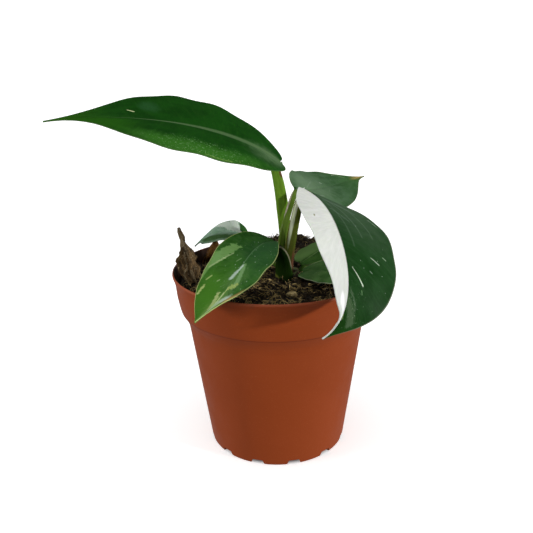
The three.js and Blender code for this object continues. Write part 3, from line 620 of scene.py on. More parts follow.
patch = bpy.data.node_groups.new("patch_of_colour", "ShaderNodeTree")
inputs_of(patch, "Float", ["Along", "Across", "Centre along", "Centre across", "Reach along", "Reach across",
                           "Slant", "Ragged", "Softness"])
given = patch.nodes.new("NodeGroupInput").outputs
off_across = maths(patch, "SUBTRACT", given["Across"], given["Centre across"])
off_along = maths(patch, "SUBTRACT", maths(patch, "SUBTRACT", given["Along"], given["Centre along"]),
                  maths(patch, "MULTIPLY", given["Slant"], off_across))
squared = [maths(patch, "POWER", maths(patch, "DIVIDE", off, given[reach]), 2.0)
           for off, reach in ((off_along, "Reach along"), (off_across, "Reach across"))]
distance = maths(patch, "SUBTRACT", maths(patch, "SQRT", maths(patch, "ADD", *squared)), 1.0)
streaks = stretched(patch, given["Along"], given["Across"], 46.0, 5.0)
share_inside(patch, distance, streaks, given["Ragged"], given["Softness"])


def patch_share(tree, along, across, centre, reach, ragged, softness, slant=0.0):
    """A roundish patch on the surface map, with its centre and how far it reaches along and across."""
    values = {"Along": along, "Across": across, "Centre along": centre[0], "Centre across": centre[1],
              "Reach along": reach[0], "Reach across": reach[1], "Slant": slant, "Ragged": ragged,
              "Softness": softness}
    return add(tree, "ShaderNodeGroup", values, node_tree=patch).outputs[0]


def petiole_finish(name, petiole):
    """Fleshy green skin with fine ribs, stripes on its front, pale or brown edges and a soiled foot, and
    painted shade towards the foot.
    """
    material, tree, shader, place = new_finish(name, 0.36, 0.0)
    shader.inputs["Coat Weight"].default_value = 0.1
    shader.inputs["Subsurface Weight"].default_value = 0.12
    shader.inputs["Subsurface Radius"].default_value = (0.6, 1.0, 0.2)
    shader.inputs["Subsurface Scale"].default_value = 0.001
    along, across, under = surface_of(tree)
    ribs = grain(tree, stretched(tree, along, across, 3.0, 16.0), 1, 3, 0.6)
    # Painted shade: darker from the top down to the foot, among the leaves at the crown.
    tone = blend(tree, step(tree, along, 0.1, 0.75), petiole["low"], petiole["high"])
    tone = blend(tree, step(tree, ribs, 0.4, 0.68, 0, 0.3), tone, petiole.get("rib", petiole["edge"]))
    front = step(tree, under, 0.45, 0.6, 1, 0)
    for centre, reach, colour in petiole["stripes"]:
        share = patch_share(tree, along, across, centre, reach, 0.25, 0.3)
        tone = blend(tree, maths(tree, "MULTIPLY", share, front), tone, colour)
    edge_from = petiole.get("edge_from", 0)
    rim = maths(tree, "MULTIPLY", step(tree, maths(tree, "ABSOLUTE", across), 0.93, 0.995, 0, 0.7),
                step(tree, along, edge_from - 0.1, edge_from + 0.05))
    tone = blend(tree, rim, tone, petiole["edge"])
    soiled_to = petiole.get("soiled_to", 0.1)
    foot = maths(tree, "ADD", along, maths(tree, "MULTIPLY", grain(tree, place, 500, 3), 0.12))
    tone = blend(tree, step(tree, foot, soiled_to, soiled_to + 0.09, 1, 0), tone, (0.012, 0.009, 0.005))
    colour_with(tree, shader, tone, step(tree, ribs, 0.3, 0.7, 0.3, 0.44), ribs, 0.0003)
    return material


for name, petiole in PETIOLES.items():
    sizes = {key: petiole[key] for key in ("path", "side", "width", "depth", "groove")}
    stalk = shell(f"stalk_{name}", *stalk_rows(**sizes))
    hand_over(stalk, petiole_finish(f"stalk_skin_{name}", petiole), "petiole", f"petiole_{name}", sharp=180)

# Leaves.
# Seven heart-shaped blades, each one living sheet: a midrib that is a groove above and a keel below, side
# veins that sweep to a thin pale margin, and green tissue with patches and flecks that grew without green.
# Some grey-green and grey-white patches and strokes are painted sheen and highlights, and the back left
# leaf's dark underside is painted shade.

BEHIND_WIDEST = 0.42
BASE_HALF = 1.5
TIP_HALF = 0.3
GROOVE_DEPTH = 0.32
GROOVE_WIDTH = 0.8
KEEL_HEIGHT = 1.15
KEEL_WIDTH = 1.2
VEIN_GROOVE = 0.07
VEIN_RIDGE = 0.12


def through_three(values, along):
    """A smooth run through a value at the base, one at the middle and one at the tip."""
    base, middle, tip = values
    place = np.clip(along, 0, 1) * 2
    first = base + (middle - base) * eased(place)
    return np.where(place < 1, first, middle + (tip - middle) * eased(place - 1))


def of_half(value, side):
    """A leaf's number for one half, from one for both halves or a pair."""
    return value[0 if side > 0 else 1] if isinstance(value, tuple) else value


def half_outline(leaf, side, length, share):
    """The margin of one half, from the petiole round the lobe to the tip, as places along and out."""
    half, lobe, belly, tip = (of_half(leaf[key], side) for key in ("half", "lobe", "belly", "tip"))
    wide = of_half(leaf["widest"], side) * length
    back = [(0, BASE_HALF), (-2.4 * lobe, BASE_HALF + 0.25 * half), (wide - 0.62 * (wide + lobe), half),
            (wide, half)]
    front = [(wide, half), (wide + belly * (length - wide), half), ((1 - tip) * length, 0.06 * half),
             (length, TIP_HALF)]
    return np.where((share < BEHIND_WIDEST)[:, None], bezier(back, np.clip(share / BEHIND_WIDEST, 0, 1)),
                    bezier(front, np.clip((share - BEHIND_WIDEST) / (1 - BEHIND_WIDEST), 0, 1)))


def half_surface(leaf, side, share, from_rib, ragged):
    """The middle surface of one half, folded up from the midrib and curled, and each point's way out."""
    length = along_curve(leaf["mid"], share)[2]
    half = of_half(leaf["half"], side)
    edge = half_outline(leaf, side, length, share)
    torn = np.array([1 + ragged * noise.noise(Vector((k * 9, side * 5, 3))) for k in share])
    out = edge[:, 1:] * torn[:, None] * from_rib[None]
    along = length * share[:, None] ** 1.25 * (1 - from_rib[None]) + edge[:, :1] * from_rib[None]
    along = (along / length).ravel()
    centre, way, _ = along_curve(leaf["mid"], along)
    lateral = np.stack([through_three(values, along) for values in zip(*leaf["side"])], axis=1)
    lateral -= way * (lateral * way).sum(axis=1, keepdims=True)
    lateral /= np.linalg.norm(lateral, axis=1, keepdims=True)
    normal = np.cross(way, lateral)
    start = np.radians(through_three(leaf["fold_left" if side > 0 else "fold_right"], along))
    bend = math.radians(of_half(leaf["curl"], side))
    reach = out.ravel() / half
    sideways = (np.sin(start + bend * reach) - np.sin(start)) * half / bend
    lift = (np.cos(start) - np.cos(start + bend * reach)) * half / bend
    lift = lift + leaf["wave"] * np.sin(10 * math.pi * along + 1.3 * side) * reach ** 2
    points = centre + lateral * (side * sideways)[:, None] + normal * lift[:, None]
    return points.reshape(*out.shape, 3), out


def blade_rows(leaf, rows, columns, veins=12, crumple=0.0, ragged=0.0, thick=(0.4, 0.22)):
    """Rows of points round a blade, over its upper face, its margin and its under face, and where each point
    lies along, across and underneath."""
    share = np.linspace(0, 1, rows + 1)
    steps = np.linspace(0, 1, columns + 1)
    from_rib = 0.65 * steps + 0.35 * eased(steps)
    left, left_out = half_surface(leaf, 1, share, from_rib, ragged)
    right, right_out = half_surface(leaf, -1, share, from_rib, ragged)
    middle = np.concatenate([right[:, :0:-1], left], axis=1)
    out = np.concatenate([right_out[:, :0:-1], left_out], axis=1)
    across = np.r_[-from_rib[:0:-1], from_rib][None] + 0 * out
    along = share[:, None] + 0 * out
    if crumple:
        for point in middle.reshape(-1, 3):
            at = Vector(point)
            point += crumple * np.array(noise.noise_vector(at / 5)) + 0.35 * crumple * np.array(
                noise.noise_vector(at / 1.6))
    face = np.cross(np.gradient(middle, axis=0), np.gradient(middle, axis=1))
    face /= np.linalg.norm(face, axis=2, keepdims=True) + 1e-12
    groove = GROOVE_DEPTH * (1 - 0.7 * along) * np.exp(-((out / GROOVE_WIDTH) ** 2))
    keel = (KEEL_HEIGHT * (1 - along) ** 0.8 + 0.1) * np.exp(-((out / KEEL_WIDTH) ** 2))
    vein = np.abs((along * veins) % 1 - 0.5) * 2
    vein = np.exp(-(((1 - vein) / 0.22) ** 2))
    vein = vein * np.clip(np.abs(across) * 8, 0, 1) * (1 - 0.75 * np.abs(across))
    body = thick[0] + (thick[1] - thick[0]) * np.abs(across) ** 2
    upper = middle + face * (body - groove - VEIN_GROOVE * vein)[..., None]
    lower = middle - face * (body + keel + VEIN_RIDGE * vein)[..., None]
    right_edge, left_edge = middle[:, :1], middle[:, -1:]
    grid = np.concatenate([right_edge, upper, left_edge, lower[:, ::-1]], axis=1)
    ends = np.concatenate([right_edge, middle, left_edge, middle[:, ::-1]], axis=1)
    grid = np.concatenate([ends[:1], grid, ends[-1:]])
    lay = np.concatenate([across[:, :1], across, across[:, -1:], across[:, ::-1]], axis=1)
    lay = np.concatenate([lay[:1], lay, lay[-1:]])
    count = across.shape[1]
    under = np.r_[0.5, np.zeros(count), 0.5, np.ones(count)][None]
    run = np.r_[0, share, 1][:, None] + 0 * lay
    return grid, run, 0.5 + 0.5 * lay, under


stroke = bpy.data.node_groups.new("stroke_of_colour", "ShaderNodeTree")
inputs_of(stroke, "Vector", ["Place", "Start", "End"])
inputs_of(stroke, "Float", ["Start width", "End width", "Ragged", "Softness"])
given = stroke.nodes.new("NodeGroupInput").outputs
from_start = vectors(stroke, "SUBTRACT", {0: given["Place"], 1: given["Start"]})
run = vectors(stroke, "SUBTRACT", {0: given["End"], 1: given["Start"]})
ahead = vectors(stroke, "DOT_PRODUCT", {0: from_start, 1: run}, 1)
reach = vectors(stroke, "DOT_PRODUCT", {0: run, 1: run}, 1)
way_along = add(stroke, "ShaderNodeMath", {0: ahead, 1: reach}, operation="DIVIDE", use_clamp=True)
way_along = way_along.outputs[0]
away = vectors(stroke, "DISTANCE", {0: from_start, 1: vectors(stroke, "SCALE", {0: run, 3: way_along})}, 1)
widening = maths(stroke, "SUBTRACT", given["End width"], given["Start width"])
width = maths(stroke, "MULTIPLY_ADD", way_along, widening, given["Start width"])
streaks = vectors(stroke, "MULTIPLY", {0: given["Place"], 1: (1.3, 0.22, 0)})
share_inside(stroke, maths(stroke, "SUBTRACT", away, width), streaks, given["Ragged"], given["Softness"])


def stroke_share(tree, place, size, start, end, widths, ragged, softness):
    """A stroke from one place to another; widths, raggedness and softness are millimetres on the blade."""
    values = {"Place": place, "Start width": widths[0], "End width": widths[1], "Ragged": ragged,
              "Softness": softness}
    for label, (along, across) in {"Start": start, "End": end}.items():
        values[label] = (along * size[0], across * size[1], 0)
    return add(tree, "ShaderNodeGroup", values, node_tree=stroke).outputs[0]


def laid_on(tree, tone, share, colour, strength):
    """A colour laid on another where share says, no stronger than strength."""
    return blend(tree, maths(tree, "MULTIPLY", share, strength), tone, colour)


def leaf_finish(name, look, size):
    """Waxy green tissue with its veins, margin, freckles, patches and strokes, on the blade's own map."""
    material, tree, shader, place = new_finish(name, 0.34, 0.0)
    shader.inputs["Coat Weight"].default_value = 0.08
    shader.inputs["Subsurface Weight"].default_value = 0.08
    shader.inputs["Subsurface Radius"].default_value = (0.5, 1.0, 0.25)
    shader.inputs["Subsurface Scale"].default_value = 0.0008
    along, across, under = surface_of(tree)
    out = maths(tree, "ABSOLUTE", across)
    on_blade = stretched(tree, along, across, *size)
    fine = grain(tree, stretched(tree, along, across, 60.0, 3.0), 1, 4, 0.6)
    cloudy = grain(tree, stretched(tree, along, across, 7.0, 2.4), 1, 3)
    tone = blend(tree, step(tree, cloudy, 0.38, 0.64), look["dark"], look["light"])
    tone = blend(tree, step(tree, fine, 0.42, 0.72, 0, 0.4), tone, look["streak"])
    tone = blend(tree, step(tree, along, look.get("tip_from", 0.7), 1, 0, 0.85), tone, look["tip"])
    for centre, reach, slant, ragged, softness, colour, strength in look["patches"]:
        share = patch_share(tree, along, across, centre, reach, ragged, softness, slant)
        tone = laid_on(tree, tone, share, colour, strength)
    green = 1.0
    if "white_half" in look:
        split = maths(tree, "ADD", across, maths(tree, "MULTIPLY", maths(tree, "SUBTRACT", fine, 0.5), 0.03))
        pale = blend(tree, step(tree, fine, 0.35, 0.7), look["white_half"], look["white_streak"])
        green = step(tree, split, -0.012, 0.022)
        tone = blend(tree, green, pale, tone)
    narrowing = maths(tree, "POWER", maths(tree, "SUBTRACT", 1.05, along), look.get("rib_taper", 1.0))
    rib_edge = maths(tree, "MULTIPLY", narrowing, look["rib_width"])
    rib = step(tree, maths(tree, "DIVIDE", out, rib_edge), 0.35, 1, look["rib_strength"], 0)
    tone = blend(tree, rib, tone, look["rib"])
    for start, end, widths, ragged, softness, colour, strength in look["strokes"]:
        share = stroke_share(tree, on_blade, size, start, end, widths, ragged, softness)
        tone = laid_on(tree, tone, share, colour, strength)
    for centre, reach, spacing, radius, chosen, colour, strength in look["freckles"]:
        dots = add(tree, "ShaderNodeTexVoronoi", {"Vector": on_blade, "Scale": 1 / spacing})
        picked = add(tree, "ShaderNodeSeparateXYZ", {0: dots.outputs[1]}).outputs
        speck = step(tree, dots.outputs[0], radius * 0.5, radius, 1, 0)
        shown = maths(tree, "MULTIPLY", speck, step(tree, picked[0], chosen - 0.02, chosen, 1, 0))
        area = patch_share(tree, along, across, centre, reach, 0.5, 0.5)
        share = maths(tree, "MULTIPLY", shown, area)
        tone = laid_on(tree, tone, share, colour, maths(tree, "MULTIPLY", picked[1], strength))
    margin = step(tree, out, 0.975, 0.995, 0, look["margin_strength"])
    tone = laid_on(tree, tone, margin, look["margin"], green)
    shown_under = step(tree, under, 0.6, 0.95)
    share = maths(tree, "MULTIPLY", shown_under, green)
    tone = laid_on(tree, tone, share, look["under"], look["under_strength"])
    fibres = maths(tree, "PINGPONG", maths(tree, "MULTIPLY", along, 36.0), 0.5)
    fibres = maths(tree, "MULTIPLY", step(tree, fibres, 0.0, 0.12), 0.5)
    pores = maths(tree, "ADD", fine, maths(tree, "MULTIPLY", grain(tree, place, 900, 2), 0.5))
    sheen = step(tree, fine, 0.3, 0.7, look["gloss"] - 0.05, look["gloss"] + 0.08)
    sheen = maths(tree, "ADD", sheen, maths(tree, "MULTIPLY", shown_under, 0.15))
    colour_with(tree, shader, tone, sheen, maths(tree, "ADD", fibres, pores), 0.00012)
    tree.links.new(sheen, shader.inputs["Coat Roughness"])
    return material


# A blade's mid is the line of its midrib from the petiole to the tip, and side is the way to its left at
# the base, middle and tip. half is the width of each half, left and right. As shares of the length, widest
# says where it is widest, belly how full it is in front of that, and tip how drawn out its end is. lobe is
# how far it reaches back. fold is given at the base, middle and tip, and like curl in degrees. wave is the
# ripple's height, and grid is the rows along it and the columns in each half.
# A place in a look is a share along and a share across, from -1 at the right margin to 1 at the left. A
# patch is its centre, reach, slant, raggedness, softness, colour and strength. A stroke is its start and
# end, then in millimetres its half width at both, its raggedness and its softness, then its colour and
# strength. Freckles have a centre and reach, the dots' spacing, their size as a share of it, the share of
# them that shows, a colour and a strength.
LEAVES = {
    "top_left": dict(
        slot="leaf_dark_green",
        mid=[(4, 0.5, 168), (-21, -11.5, 188.5), (-51, -21.5, 195.5), (-84.5, -24.5, 199.5),
             (-117.5, -23.5, 195.5)],
        side=[(0.23, -0.88, -0.39), (0.12, -0.92, -0.35), (0.02, -0.92, -0.39)],
        half=(29.3, 29.6), widest=0.38, lobe=3.7, tip=0.28, belly=0.52,
        fold_left=(5, 7, 12), fold_right=(6, 6, 14), curl=(-12, -8), wave=0.5, grid=(150, 26),
        look=dict(
            dark=(0.003, 0.034, 0.0015), light=(0.005, 0.047, 0.0025), streak=(0.011, 0.06, 0.005),
            # Painted sheen: the broad grey-green rib, and the grey-green third patch at the base.
            tip=(0.02, 0.085, 0.003), tip_from=0.75, rib=(0.075, 0.135, 0.055), rib_width=0.22,
            rib_taper=2.4, rib_strength=0.72, margin=(0.1, 0.18, 0.05), margin_strength=0.35,
            under=(0.06, 0.16, 0.03), under_strength=0.8, gloss=0.36,
            patches=[((0.47, 0.84), (0.2, 0.22), -0.1, 0.8, 0.7, (0.03, 0.125, 0.012), 0.85),
                     ((0.8, 0.6), (0.12, 0.5), 0.0, 0.8, 0.7, (0.015, 0.085, 0.003), 0.8),
                     ((0.08, 0.25), (0.14, 0.5), 0.0, 0.8, 0.7, (0.07, 0.13, 0.055), 0.95),
                     ((0.62, -0.55), (0.035, 0.2), 0.0, 0.9, 0.6, (0.014, 0.065, 0.016), 0.8)],
            strokes=[((0.71, -0.43), (0.69, -0.33), (0.25, 0.45), 0.3, 0.25, (0.6, 0.65, 0.35), 0.95),
                     ((0.42, 0.94), (0.36, 0.96), (0.2, 0.3), 1.6, 0.5, (0.22, 0.36, 0.08), 0.5)],
            freckles=[((0.44, 0.8), (0.15, 0.26), 1.1, 0.42, 0.55, (0.13, 0.27, 0.1), 0.75),
                      ((0.46, 0.75), (0.14, 0.22), 0.6, 0.4, 0.5, (0.2, 0.36, 0.16), 0.8),
                      ((0.37, 0.93), (0.1, 0.09), 0.8, 0.35, 0.4, (0.25, 0.42, 0.12), 0.8)])),
    "right": dict(
        slot="leaf_dark_green",
        mid=[(16.3, -21.1, 157), (30.6, -33.2, 153), (32.5, -53, 141.5), (39.5, -74.8, 126.5),
             (37.4, -73.9, 105), (22.5, -74.9, 95)],
        side=[(0.8, 0.18, -0.33), (0.69, 0.59, 0.03), (0.72, 0.49, -0.44)],
        half=(28.8, 25.5), widest=(0.55, 0.5), lobe=(4, 1.9), tip=(0.16, 0.31), belly=(0.63, 0.88),
        fold_left=(-5, 16, 40), fold_right=(7, 30, 38), curl=(-21, -12), wave=0.3, grid=(150, 26),
        look=dict(
            dark=(0.006, 0.034, 0.005), light=(0.01, 0.045, 0.009), streak=(0.02, 0.062, 0.018),
            tip=(0.01, 0.05, 0.003), rib=(0.4, 0.45, 0.36), rib_width=0.02, rib_strength=0.4,
            margin=(0.3, 0.31, 0.24), margin_strength=0.5, under=(0.09, 0.19, 0.06), under_strength=0.5,
            gloss=0.4,
            white_half=(0.53, 0.55, 0.51), white_streak=(0.59, 0.605, 0.57),
            # Painted sheen: the grey-green patch and the grey-green strokes near the base of the green half.
            patches=[((0.2, 0.5), (0.2, 0.6), 0.0, 0.8, 0.8, (0.045, 0.083, 0.044), 0.9)],
            strokes=[((0.63, 0.13), (0.664, 0.42), (0.12, 0.38), 0.25, 0.18, (0.55, 0.66, 0.5), 1),
                     ((0.5, 0.5), (0.5, 0.65), (0.12, 0.2), 0.5, 0.2, (0.45, 0.55, 0.42), 0.9),
                     ((0.45, 0.73), (0.45, 0.79), (0.12, 0.12), 0.2, 0.2, (0.3, 0.42, 0.28), 0.9),
                     ((0.569, 0.5), (0.569, 0.54), (0.15, 0.15), 0.2, 0.2, (0.28, 0.38, 0.28), 0.8),
                     ((0.688, 0.43), (0.7, 0.47), (0.25, 0.25), 0.2, 0.25, (0.12, 0.24, 0.1), 0.9),
                     ((0.19, 0.2), (0.3, 0.6), (0.7, 0.5), 2.2, 0.6, (0.08, 0.13, 0.085), 0.8),
                     ((0.12, 0.45), (0.24, 0.75), (0.5, 0.4), 2.0, 0.5, (0.08, 0.14, 0.085), 0.7),
                     ((0.28, 0.1), (0.36, 0.3), (0.4, 0.3), 1.5, 0.5, (0.07, 0.12, 0.075), 0.7),
                     ((0.315, 0.85), (0.34, 0.9), (0.2, 0.2), 0.8, 0.3, (0.3, 0.38, 0.28), 0.7),
                     ((0.12, 0.22), (0.42, 0.4), (0.4, 0.2), 0.8, 0.5, (0.1, 0.15, 0.1), 0.5),
                     ((0.13, 0.4), (0.4, 0.6), (0.4, 0.2), 0.9, 0.5, (0.09, 0.14, 0.09), 0.5),
                     ((0.15, 0.12), (0.5, 0.22), (0.35, 0.2), 0.8, 0.5, (0.08, 0.13, 0.08), 0.5),
                     ((0.1, 0.6), (0.3, 0.85), (0.5, 0.3), 1.0, 0.5, (0.1, 0.15, 0.1), 0.5),
                     ((0.8, 0.1), (0.83, 0.75), (2.6, 2.6), 6.0, 1.4, (0.075, 0.125, 0.06), 0.75),
                     ((0.74, 0.1), (0.78, 0.5), (0.8, 0.8), 4.0, 0.8, (0.08, 0.13, 0.07), 0.6),
                     ((0.86, 0.06), (0.875, 0.14), (0.5, 0.5), 0.6, 0.4, (0.25, 0.34, 0.1), 0.9),
                     ((0.35, -0.63), (0.352, -0.65), (0.45, 0.45), 0.6, 0.35, (0.16, 0.16, 0.06), 0.9),
                     # Painted highlight: the near-white stroke low on the white half.
                     ((0.7, -0.75), (0.86, -0.6), (3.5, 3.5), 1.0, 1.5, (0.8, 0.8, 0.79), 1)],
            freckles=[((0.81, 0.42), (0.1, 0.45), 1.2, 0.36, 0.3, (0.22, 0.32, 0.19), 0.7),
                      ((0.6, 0.45), (0.25, 0.4), 2.2, 0.12, 0.35, (0.3, 0.4, 0.3), 0.8)])),
    "upper_right": dict(
        slot="leaf_dark_green",
        mid=[(12.5, 4, 151.5), (25, 24, 145), (40.5, 44.5, 146), (58.5, 64.5, 146)],
        side=[(-0.39, 0.77, 0.48), (-0.46, 0.8, 0.33), (-0.51, 0.82, 0.23)],
        half=(19.1, 19.5), widest=0.39, lobe=1.9, tip=0.2, belly=0.47,
        fold_left=(9, 5, 7), fold_right=(4, 2, 4), curl=(-8, -13), wave=0.3, grid=(120, 22),
        look=dict(
            dark=(0.026, 0.072, 0.024), light=(0.048, 0.105, 0.046), streak=(0.065, 0.125, 0.06),
            tip=(0.035, 0.11, 0.02), tip_from=0.55, rib=(0.07, 0.13, 0.065), rib_width=0.05,
            rib_strength=0.4, margin=(0.2, 0.22, 0.11), margin_strength=0.5, under=(0.06, 0.15, 0.03),
            under_strength=0.8, gloss=0.33,
            # Painted sheen: the grey-green first patch and the two grey-green strokes near the base.
            patches=[((0.3, 0.25), (0.17, 0.8), 0.0, 0.9, 1.0, (0.12, 0.19, 0.11), 0.75),
                     ((0.95, 0.3), (0.08, 0.9), 0.0, 0.9, 0.7, (0.34, 0.25, 0.08), 0.95),
                     ((1.0, 0.0), (0.016, 1.2), 0.0, 0.3, 0.5, (0.06, 0.03, 0.015), 1)],
            strokes=[((0.73, 0.85), (0.79, 0.5), (0.4, 0.25), 0.6, 0.3, (0.18, 0.28, 0.13), 0.8),
                     ((0.485, 0.25), (0.5, 0.2), (0.25, 0.25), 0.2, 0.25, (0.3, 0.38, 0.28), 0.8),
                     ((0.2, 0.0), (0.4, 0.35), (0.35, 0.2), 1.2, 0.4, (0.17, 0.23, 0.16), 0.4),
                     ((0.6, 0.96), (0.85, 0.97), (0.35, 0.6), 1.2, 0.5, (0.2, 0.26, 0.09), 0.8),
                     ((0.68, 0.8), (0.74, 0.97), (0.3, 0.3), 0.6, 0.3, (0.45, 0.52, 0.36), 0.8),
                     ((0.22, -0.2), (0.36, -0.4), (0.4, 0.2), 1.2, 0.4, (0.2, 0.27, 0.19), 0.7),
                     ((0.7, -1.0), (0.9, -1.0), (0.25, 0.4), 0.4, 0.3, (0.22, 0.13, 0.05), 0.9)],
            freckles=[((0.5, 0.2), (0.4, 0.8), 2.0, 0.13, 0.4, (0.3, 0.38, 0.28), 0.8)])),
    "front_left": dict(
        slot="leaf_mid_green",
        mid=[(-0.1, -21.3, 128.7), (-15.6, -30.6, 132.5), (-18.2, -42.1, 110.7), (-40.3, -66.3, 101.2)],
        side=[(0.89, -0.45, -0.09), (0.69, -0.7, 0.02), (0.55, -0.8, 0.05)],
        half=(18.6, 20.8), widest=(0.37, 0.4), lobe=(0.4, -0.3), tip=(0.08, 0.05), belly=(0.63, 0.65),
        fold_left=(8, 9, 27), fold_right=(11, 7, 14), curl=(-5, 1), wave=0.3, grid=(140, 26),
        look=dict(
            dark=(0.016, 0.07, 0.009), light=(0.034, 0.115, 0.016), streak=(0.07, 0.155, 0.045),
            tip=(0.05, 0.17, 0.015), tip_from=0.6, rib=(0.1, 0.2, 0.09), rib_width=0.035, rib_strength=0.7,
            margin=(0.42, 0.48, 0.18), margin_strength=0.9, under=(0.07, 0.17, 0.04), under_strength=0.8,
            gloss=0.34,
            patches=[((0.2, 0.5), (0.25, 0.8), 0.0, 0.8, 0.8, (0.022, 0.075, 0.024), 0.8),
                     ((0.68, -0.6), (0.2, 0.55), 0.0, 0.8, 0.8, (0.06, 0.19, 0.016), 0.8),
                     ((0.93, 0.5), (0.2, 0.8), 0.0, 0.8, 0.6, (0.2, 0.33, 0.08), 0.9),
                     ((0.6, 0.15), (0.1, 0.35), 0.0, 1.2, 0.8, (0.09, 0.19, 0.05), 0.7)],
            strokes=[((0.52, -1.0), (0.413, -0.9), (0.7, 2.4), 1.6, 0.5, (0.14, 0.28, 0.075), 1),
                     ((0.413, -0.84), (0.35, -0.6), (2.2, 2.8), 4.5, 0.4, (0.15, 0.3, 0.09), 1),
                     ((0.37, -0.66), (0.32, -0.42), (2.6, 0.9), 6.0, 0.4, (0.14, 0.28, 0.08), 0.95),
                     ((0.46, -0.9), (0.41, -0.62), (0.3, 0.4), 1.4, 0.35, (0.33, 0.46, 0.2), 0.85),
                     ((0.41, -0.62), (0.375, -0.45), (0.4, 0.3), 1.6, 0.35, (0.33, 0.46, 0.2), 0.8),
                     ((0.46, 0.1), (0.6, 0.34), (1.5, 2.1), 3.0, 0.7, (0.15, 0.28, 0.11), 0.9),
                     # Painted highlight: a grey-white stroke along the midrib.
                     ((0.46, 0.04), (0.575, -0.08), (0.7, 1.0), 2.0, 0.6, (0.42, 0.54, 0.44), 0.95),
                     ((0.6, 0.4), (0.66, 0.1), (1.4, 1.1), 4.0, 0.4, (0.26, 0.36, 0.1), 1),
                     ((0.66, 0.1), (0.72, 0.15), (1.1, 0.8), 3.0, 0.4, (0.32, 0.42, 0.13), 1),
                     ((0.71, -0.22), (0.83, -0.1), (1.3, 2.2), 5.5, 0.4, (0.33, 0.42, 0.16), 1),
                     ((0.73, 0.1), (0.87, 0.3), (2.0, 3.0), 6.0, 0.7, (0.36, 0.46, 0.2), 0.95),
                     # Painted sheen: a grey-white stroke on the left half.
                     ((0.68, 0.72), (0.8, 0.5), (1.8, 4.2), 4.0, 1.6, (0.42, 0.52, 0.42), 0.9),
                     ((0.8, 0.55), (0.95, 0.4), (4.0, 6.0), 4.5, 2.0, (0.26, 0.38, 0.18), 0.8),
                     ((0.6, 1.0), (0.67, 0.96), (1.3, 2.6), 1.5, 2.0, (0.4, 0.24, 0.09), 0.85),
                     ((0.537, -0.82), (0.519, -0.71), (0.35, 0.35), 0.5, 0.3, (0.3, 0.42, 0.13), 0.95),
                     ((0.57, -0.47), (0.566, -0.42), (0.3, 0.3), 0.5, 0.3, (0.25, 0.38, 0.15), 0.9),
                     ((0.64, -0.93), (0.59, -0.82), (0.6, 0.8), 2.4, 0.35, (0.38, 0.48, 0.16), 0.95),
                     ((0.425, -0.22), (0.4, -0.15), (0.2, 0.2), 0.4, 0.3, (0.2, 0.33, 0.14), 0.8)],
            freckles=[((0.4, 0.3), (0.3, 0.9), 1.7, 0.21, 0.5, (0.34, 0.48, 0.32), 0.9),
                      ((0.65, -0.2), (0.35, 0.8), 2.2, 0.14, 0.4, (0.25, 0.4, 0.2), 0.7)])),
    "back_left": dict(
        slot="leaf_mid_green",
        mid=[(-7.5, 10, 118), (-24, 8.5, 128), (-36.5, 17, 126), (-49, 25.5, 112.5)],
        side=[(0.35, -0.92, 0.11), (0, -0.95, -0.1), (-0.28, -0.94, -0.23)],
        half=(16.2, 16.2), widest=0.42, lobe=4, tip=0.22, belly=0.5,
        fold_left=(6, 10, 8), fold_right=(2, 8, 5), curl=(-10, -12), wave=0.2, grid=(110, 20),
        look=dict(
            dark=(0.13, 0.235, 0.15), light=(0.23, 0.34, 0.25), streak=(0.31, 0.4, 0.31),
            tip=(0.045, 0.14, 0.07), rib=(0.2, 0.3, 0.2), rib_width=0.05, rib_strength=0.4,
            # Painted shade: the dark colour of its underside.
            margin=(0.16, 0.2, 0.12), margin_strength=0.4, under=(0.02, 0.06, 0.012), under_strength=0.9,
            gloss=0.3,
            patches=[((0.55, 0.6), (0.3, 0.35), 0.0, 1.0, 0.5, (0.028, 0.08, 0.014), 0.95)],
            # Painted sheen: the two whitish strokes on the blade.
            strokes=[((0.64, -1.0), (0.47, -0.35), (3.2, 3.4), 4.5, 0.6, (0.5, 0.58, 0.49), 0.95),
                     ((0.48, -0.95), (0.4, -0.25), (2.2, 1.8), 3.5, 0.4, (0.54, 0.61, 0.53), 1),
                     ((0.37, -0.95), (0.35, -0.42), (2.6, 2.0), 2.4, 0.4, (0.02, 0.08, 0.012), 1)],
            freckles=[((0.65, -0.2), (0.3, 0.6), 1.6, 0.2, 0.5, (0.25, 0.33, 0.26), 0.6)])),
    "mid_right": dict(
        slot="leaf_mid_green",
        mid=[(15, 3, 108), (27, 13, 112.5), (40, 23, 118.5), (56, 29.5, 116)],
        side=[(-0.35, 0.91, 0.14), (-0.29, 0.95, 0.01), (-0.26, 0.95, 0.06)],
        half=(13.6, 13.4), widest=0.42, lobe=1.5, tip=0.22, belly=0.5,
        fold_left=(8, 3, 8), fold_right=(8, 8, 8), curl=(-12, -8), wave=0.2, grid=(100, 20),
        look=dict(
            dark=(0.03, 0.095, 0.013), light=(0.055, 0.14, 0.024), streak=(0.045, 0.12, 0.025),
            tip=(0.03, 0.1, 0.012), rib=(0.2, 0.3, 0.12), rib_width=0.045, rib_strength=0.8,
            margin=(0.2, 0.28, 0.12), margin_strength=0.5, under=(0.05, 0.13, 0.03), under_strength=0.8,
            gloss=0.38,
            patches=[((0.4, 0.6), (0.5, 0.55), 0.0, 0.4, 0.25, (0.13, 0.24, 0.07), 0.85)],
            strokes=[],
            freckles=[((0.5, 0.0), (0.4, 0.8), 1.5, 0.2, 0.3, (0.2, 0.3, 0.15), 0.6)])),
    "lower_right": dict(
        slot="leaf_dark_green",
        mid=[(15.5, -9, 106.5), (27, -15, 110.5), (38, -20, 109.5), (48, -22, 103.5)],
        side=[(0.36, 0.92, 0.14), (0.33, 0.9, 0.24), (0.31, 0.89, 0.32)],
        half=(11, 12.9), widest=0.42, lobe=1.5, tip=0.22, belly=0.5,
